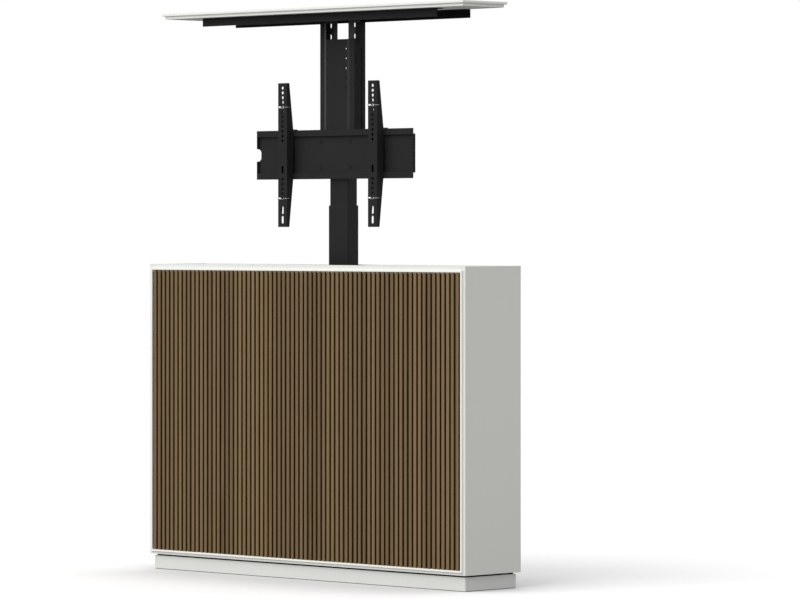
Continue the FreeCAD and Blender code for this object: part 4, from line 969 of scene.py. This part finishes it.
def measureFastener(points, rimShare):
    # Seat point, direction of the head and sizes of one round-headed fastener. Its axis is the one
    # whose other two widths match, and the points near the widest radius belong to its head.
    low, high = extent(points)
    across = high - low
    gaps = [abs(across[(k + 1) % 3] - across[(k + 2) % 3]) for k in range(3)]
    k = gaps.index(min(gaps))
    middle = (low + high) / 2
    reach = []
    for point in points:
        offset = point - middle
        along = offset[k]
        offset[k] = 0
        reach.append((along, offset.length))
    headRadius = max(radius for _, radius in reach)
    head = [along for along, radius in reach if radius > rimShare * headRadius]
    shank = [(along, radius) for along, radius in reach if radius <= rimShare * headRadius]
    sign = 1 if min(head) + max(head) > 0 else -1
    seat = min(along * sign for along in head)
    direction = Vector((0, 0, 0))
    direction[k] = sign
    tip = min(along * sign for along, _ in shank)
    shankRadius = max(radius for _, radius in shank)
    headHeight = max(along * sign for along in head) - seat
    return middle + direction * seat, direction, headRadius, headHeight, shankRadius, seat - tip


def addFastener(bm, sizes, setup):
    # A low round head with a hexagon socket on a threaded shank.
    at, direction, headRadius, headHeight, shankRadius, length = sizes
    root = shankRadius * (1 - setup["threadDepth"])
    rings = [(-length, setup["tipShare"] * shankRadius)]
    pitch = setup["threadPitch"]
    for i in range(int(length / pitch - 0.5)):
        start = (i + 0.5) * pitch - length
        rings += [(start, shankRadius), (start + pitch / 2, root)]
    socket = hexagon(setup["socketAcross"] * headRadius)
    rings += [(0, shankRadius)]
    rings += [(up * headHeight, out * headRadius) for up, out in setup["headProfile"]]
    rings += [(headHeight, socket), (headHeight * (1 - setup["socketDepth"]), socket)]
    turnRings(bm, rings, axisFrame(at, direction), setup["segments"])


def makeFasteners(setup):
    for nodeName in setup["nodes"]:
        cadMesh = nodeMesh(nodeName)
        bm = bmesh.new()
        for points in islands(cadMesh):
            addFastener(bm, measureFastener(points, setup["rimShare"]), setup)
        cadMesh.free()
        piece = finishMesh(bm, camel(nodeName), materialOfSlot[slotOf[nodeName]])
        standFor(piece, nodeName)


makeFasteners(fasteners)
print("fasteners ready:", len(fasteners["nodes"]))


# Spring clips on the arms.
clips = {
    "nodes": ("arm_clips_left", "arm_clips_right"),
    "strapHeight": 5.0 * mm,
    "sheet": 0.9 * mm,
    "innerBend": 1.4,
    "wireRadius": 0.55 * mm,
    "wireSegments": 8,
    "wireOverlap": 3,
    "loopRadius": 5.6 * mm,
    "loopSquash": 0.5,
    "loopSteps": 8,
    "lugRadius": 1.7 * mm,
    "lugSegments": 16,
    "lugLift": 0.25,
    "lugProfile": ((-1, 1), (0, 1), (0.2, 0.7)),
}


def addTube(bm, path, radius, segments):
    # A round wire along a row of points.
    angles = [2 * math.pi * k / segments for k in range(segments)]
    ring = [Vector((radius * math.cos(angle), radius * math.sin(angle), 0)) for angle in angles]
    loops = []
    for i, point in enumerate(path):
        ahead = path[min(i + 1, len(path) - 1)] - path[max(i - 1, 0)]
        where = axisFrame(point, ahead)
        loops.append([bm.verts.new(where @ spot) for spot in ring])
    skin(bm, loops)


def addClip(bm, low, high, setup):
    # A bent strap round the left flank and a wire that loops under the hole to the right flank.
    middle = (low + high) / 2
    face = low.y
    sheet = setup["sheet"]
    bend = setup["innerBend"] * sheet
    half = setup["strapHeight"] / 2
    reach = setup["loopRadius"]
    strapEnd = middle.x - reach
    outline = [(low.x, high.y), (low.x, face + sheet), (low.x + sheet, face), (strapEnd, face),
               (strapEnd, face + sheet), (low.x + bend, face + sheet), (low.x + sheet, face + bend),
               (low.x + sheet, high.y)]
    loops = [[bm.verts.new((x, y, middle.z + z)) for x, y in outline] for z in (-half, half)]
    skin(bm, loops)
    wire = setup["wireRadius"]
    depth = face + wire
    overlap = setup["wireOverlap"] * wire
    path = [Vector((strapEnd - overlap, depth, middle.z - half / 2))]
    for step in range(setup["loopSteps"] + 1):
        angle = math.pi * (1 + step / setup["loopSteps"])
        path.append(Vector((middle.x + reach * math.cos(angle), depth,
                            middle.z + setup["loopSquash"] * reach * math.sin(angle))))
    path += [Vector((high.x - overlap, depth, middle.z)),
             Vector((high.x - wire, depth + 2 * wire, middle.z)),
             Vector((high.x - wire, high.y, middle.z))]
    addTube(bm, path, wire, setup["wireSegments"])
    lug = Vector(((low.x + strapEnd) / 2, face, middle.z))
    lugRings = [(up * sheet, out * setup["lugRadius"]) for up, out in setup["lugProfile"]]
    lift = Vector((0, setup["lugLift"] * sheet, 0))
    turnRings(bm, lugRings, axisFrame(lug + lift, (0, -1, 0)), setup["lugSegments"])


def makeClips(setup):
    for nodeName in setup["nodes"]:
        cadMesh = nodeMesh(nodeName)
        bm = bmesh.new()
        for points in islands(cadMesh):
            addClip(bm, *extent(points), setup)
        cadMesh.free()
        piece = finishMesh(bm, camel(nodeName), "zincSteel")
        standFor(piece, nodeName)


makeClips(clips)
print("clips ready")


# Drive inside the column. Each rod has its radius and, if it is hollow, its bore.
spindles = {
    "lead": 8.0 * mm,
    "threadDepth": 1.1 * mm,
    "flankSlope": 10,
    "flankRise": 2.5,
    "step": 1.0 * mm,
    "segments": 24,
    "smoothBelow": 30.0,
    "collarHeight": 3.0 * mm,
    "collarRadius": 13.0 * mm,
    "collarProfile": ((0, 0.96), (0.1, 1), (0.9, 1), (1, 0.96)),
    "threadStart": 1.4,
    "rods": {"lower_spindle": (6.0 * mm, None), "upper_spindle": (10.0 * mm, 6.5 * mm)},
}


def makeSpindle(nodeName, setup):
    # A trapezoid thread above a round collar; the upper spindle is hollow.
    radius, bore = setup["rods"][nodeName]
    low, high = (Vector(corner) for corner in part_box(nodeName))
    middle = (low + high) / 2
    length = high.z - low.z
    collar = setup["collarHeight"]
    depth = setup["threadDepth"]

    def thread(angle, height):
        # Full depth round half a turn, with flanks a tenth of a turn wide.
        phase = (height / setup["lead"] - angle / (2 * math.pi)) % 1
        sunk = setup["flankRise"] - abs(phase - 0.5) * setup["flankSlope"]
        return radius - depth * min(1, max(0, sunk))

    rings = [(up * collar, out * setup["collarRadius"]) for up, out in setup["collarProfile"]]
    rings += [(collar, radius - depth)]
    start = setup["threadStart"] * collar
    count = int((length - 2 * collar) / setup["step"])
    rings += [(start + k * setup["step"], thread) for k in range(count)]
    rings += [(length, radius - depth)]
    if bore:
        rings += [(length, bore), (0, bore)]
    bm = bmesh.new()
    where = axisFrame((middle.x, middle.y, low.z), (0, 0, 1))
    turnRings(bm, rings, where, setup["segments"], bool(bore))
    piece = finishMesh(bm, camel(nodeName), "spindleSteel", setup["smoothBelow"])
    standFor(piece, nodeName)


# The screw profile counts heights in seams and radii in screw radii.
drive = {
    "fins": 11,
    "finDepth": 1.2 * mm,
    "finSpan": (0.3, 0.7),
    "finDrop": 0.3,
    "capHeight": 9.0 * mm,
    "segments": 48,
    "seam": 0.8 * mm,
    "seamHeight": 0.62,
    "edge": 1.5 * mm,
    "edgeBreak": 0.3,
    "cornerSegments": 3,
    "cornerProfile": 0.5,
    "shortest": 3 * mm,
    "screwInset": 6.0 * mm,
    "screwRadius": 2.6 * mm,
    "screwSegments": 24,
    "screwProfile": ((-3, 1), (-0.4, 1), (-0.1, 0.8)),
    "socketDepths": (-0.1, -1.5),
}


def makeMotor(setup):
    # A round motor with flat end caps and fins between them.
    low, high = (Vector(corner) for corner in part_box("drive_motor"))
    middle = (low + high) / 2
    radius = (high.x - low.x) / 2
    length = high.z - low.z
    cap = setup["capHeight"]
    edge = setup["edge"]
    thin = radius - setup["finDepth"]
    crest = radius - setup["finDrop"] * setup["finDepth"]
    rings = [(0, radius - edge), (edge, radius), (cap, radius), (cap, thin)]
    pitch = (length - 2 * cap) / setup["fins"]
    for i in range(setup["fins"]):
        start, end = (cap + i * pitch + share * pitch for share in setup["finSpan"])
        rings += [(start, thin), (start, crest), (end, crest), (end, thin)]
    rings += [(length - cap, thin), (length - cap, radius), (length - edge, radius),
              (length, radius - edge)]
    bm = bmesh.new()
    where = axisFrame((middle.x, middle.y, low.z), (0, 0, 1))
    turnRings(bm, rings, where, setup["segments"])
    standFor(finishMesh(bm, "driveMotor", "motorSteel"), "drive_motor")


def makeHousing(nodeName, setup):
    # A two-part moulded housing: eased edges, a joint line and four recessed screws on top.
    low, high = (Vector(corner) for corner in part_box(nodeName))
    seam = setup["seam"]
    edge = setup["edge"]
    small = setup["edgeBreak"] * edge
    joint = low.z + setup["seamHeight"] * (high.z - low.z)
    levels = [(low.z, edge), (low.z + small, small), (low.z + edge, 0), (joint, 0),
              (joint, seam), (joint + seam, seam), (joint + seam, 0), (high.z - edge, 0),
              (high.z - small, small), (high.z, edge)]
    bm = bmesh.new()
    stackLevels(bm, low, high, levels)
    upright = uprightEdges(bm, setup["shortest"])
    bevel(bm, upright, edge, setup["cornerSegments"], setup["cornerProfile"])
    inset = setup["screwInset"]
    radius = setup["screwRadius"]
    rings = [(up * seam, out * radius) for up, out in setup["screwProfile"]]
    rings += [(up * seam, hexagon(radius)) for up in setup["socketDepths"]]
    for x in (low.x + inset, high.x - inset):
        for y in (low.y + inset, high.y - inset):
            where = axisFrame((x, y, high.z), (0, 0, 1))
            turnRings(bm, rings, where, setup["screwSegments"])
    standFor(finishMesh(bm, camel(nodeName), "blackPlastic"), nodeName)


for nodeName in spindles["rods"]:
    makeSpindle(nodeName, spindles)
makeMotor(drive)
makeHousing("drive_gearbox", drive)
makeHousing("control_box", drive)
print("drive ready")


# Power inlet, cable outlet and feet.
inlet = {
    "ease": 0.8 * mm,
    "easeSegments": 2,
    "shortest": 9.5 * mm,
    "pinRadius": 1.2 * mm,
    "pinSpread": 8.6 * mm,
    "pinLength": 7.0 * mm,
    "pinSegments": 16,
    "tipLength": 0.6,
    "tipShare": 0.5,
    "hollowDepth": 9.0 * mm,
}


def makeInlet(setup):
    # An eased shell with two round pins in its hollow.
    bm = nodeMesh("power_inlet")
    softenEdges(bm, setup["ease"], setup["easeSegments"], setup["shortest"])
    low, high = (Vector(corner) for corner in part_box("power_inlet"))
    middle = (low + high) / 2
    pin = setup["pinRadius"]
    length = setup["pinLength"]
    rings = [(0, pin), (length - setup["tipLength"] * pin, pin), (length, setup["tipShare"] * pin)]
    for side in (-1, 1):
        root = (low.x + setup["hollowDepth"], middle.y + side * setup["pinSpread"] / 2, middle.z)
        turnRings(bm, rings, axisFrame(root, (-1, 0, 0)), setup["pinSegments"])
    standFor(finishMesh(bm, "powerInlet", "blackPlastic"), "power_inlet")


outlet = {
    "bore": 25.0 * mm,
    "sleeve": 29.7 * mm,
    "collar": 34.0 * mm,
    "collarHeight": 2.0 * mm,
    "ease": 0.5 * mm,
    "underCut": 0.2 * mm,
    "edgeHeights": (0.3, 0.75),
    "faceInset": 1.8 * mm,
    "lipInset": 0.6 * mm,
    "lipHeight": 0.7,
    "segments": 64,
}


def makeOutlet(setup):
    # A sleeve with a rounded collar and a rolled inner lip.
    low, high = (Vector(corner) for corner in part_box("cable_grommet"))
    middle = (low + high) / 2
    depth = high.y - low.y - setup["collarHeight"]
    rise = setup["collarHeight"]
    bore, sleeve, collar = setup["bore"], setup["sleeve"], setup["collar"]
    ease, inset = setup["ease"], setup["faceInset"]
    lower, upper = (share * rise for share in setup["edgeHeights"])
    rings = [(-depth, bore + ease), (-depth, sleeve - ease), (ease - depth, sleeve), (0, sleeve),
             (0, collar - setup["underCut"]), (lower, collar), (upper, collar - ease),
             (rise, collar - inset), (rise, bore + inset),
             (setup["lipHeight"] * rise, bore + setup["lipInset"]), (0, bore)]
    bm = bmesh.new()
    where = axisFrame((middle.x, high.y - rise, middle.z), (0, 1, 0))
    turnRings(bm, rings, where, setup["segments"], True)
    standFor(finishMesh(bm, "cableGrommet", "blackPlastic"), "cable_grommet")


feet = {
    "padRadius": 20.0 * mm,
    "padHeight": 8.0 * mm,
    "stemRadius": 5.0 * mm,
    "nutAcross": 17.0 * mm,
    "nutHeight": 5.0 * mm,
    "padProfile": ((0, 0.93), (0.12, 1), (0.45, 1), (0.55, 0.94), (0.65, 0.94), (0.8, 0.7),
                   (1, 0.62)),
    "threadPitch": 1.8 * mm,
    "rootShare": 0.88,
    "tipShare": 0.85,
    "segments": 36,
}


def makeFeet(setup):
    # Ribbed pads with a hexagon and a threaded stem.
    cadMesh = nodeMesh("leveling_feet")
    bm = bmesh.new()
    pad, rise = setup["padRadius"], setup["padHeight"]
    start = rise + setup["nutHeight"]
    nut = hexagon(setup["nutAcross"])
    stem = setup["stemRadius"]
    pitch = setup["threadPitch"]
    for points in islands(cadMesh):
        low, high = extent(points)
        rings = [(up * rise, out * pad) for up, out in setup["padProfile"]]
        rings += [(rise, nut), (start, nut), (start, stem)]
        # Root and crest of the thread lie half a pitch apart.
        for i in range(int((high.z - low.z - start) / pitch) - 1):
            rings += [(start + (i + 0.6) * pitch, setup["rootShare"] * stem),
                      (start + (i + 1.1) * pitch, stem)]
        rings += [(high.z - low.z, setup["tipShare"] * stem)]
        at = ((low.x + high.x) / 2, (low.y + high.y) / 2, low.z)
        turnRings(bm, rings, axisFrame(at, (0, 0, 1)), setup["segments"])
    cadMesh.free()
    standFor(finishMesh(bm, "levelingFeet", "blackPlastic"), "leveling_feet")


makeInlet(inlet)
makeOutlet(outlet)
makeFeet(feet)
print("inlet, outlet and feet ready")
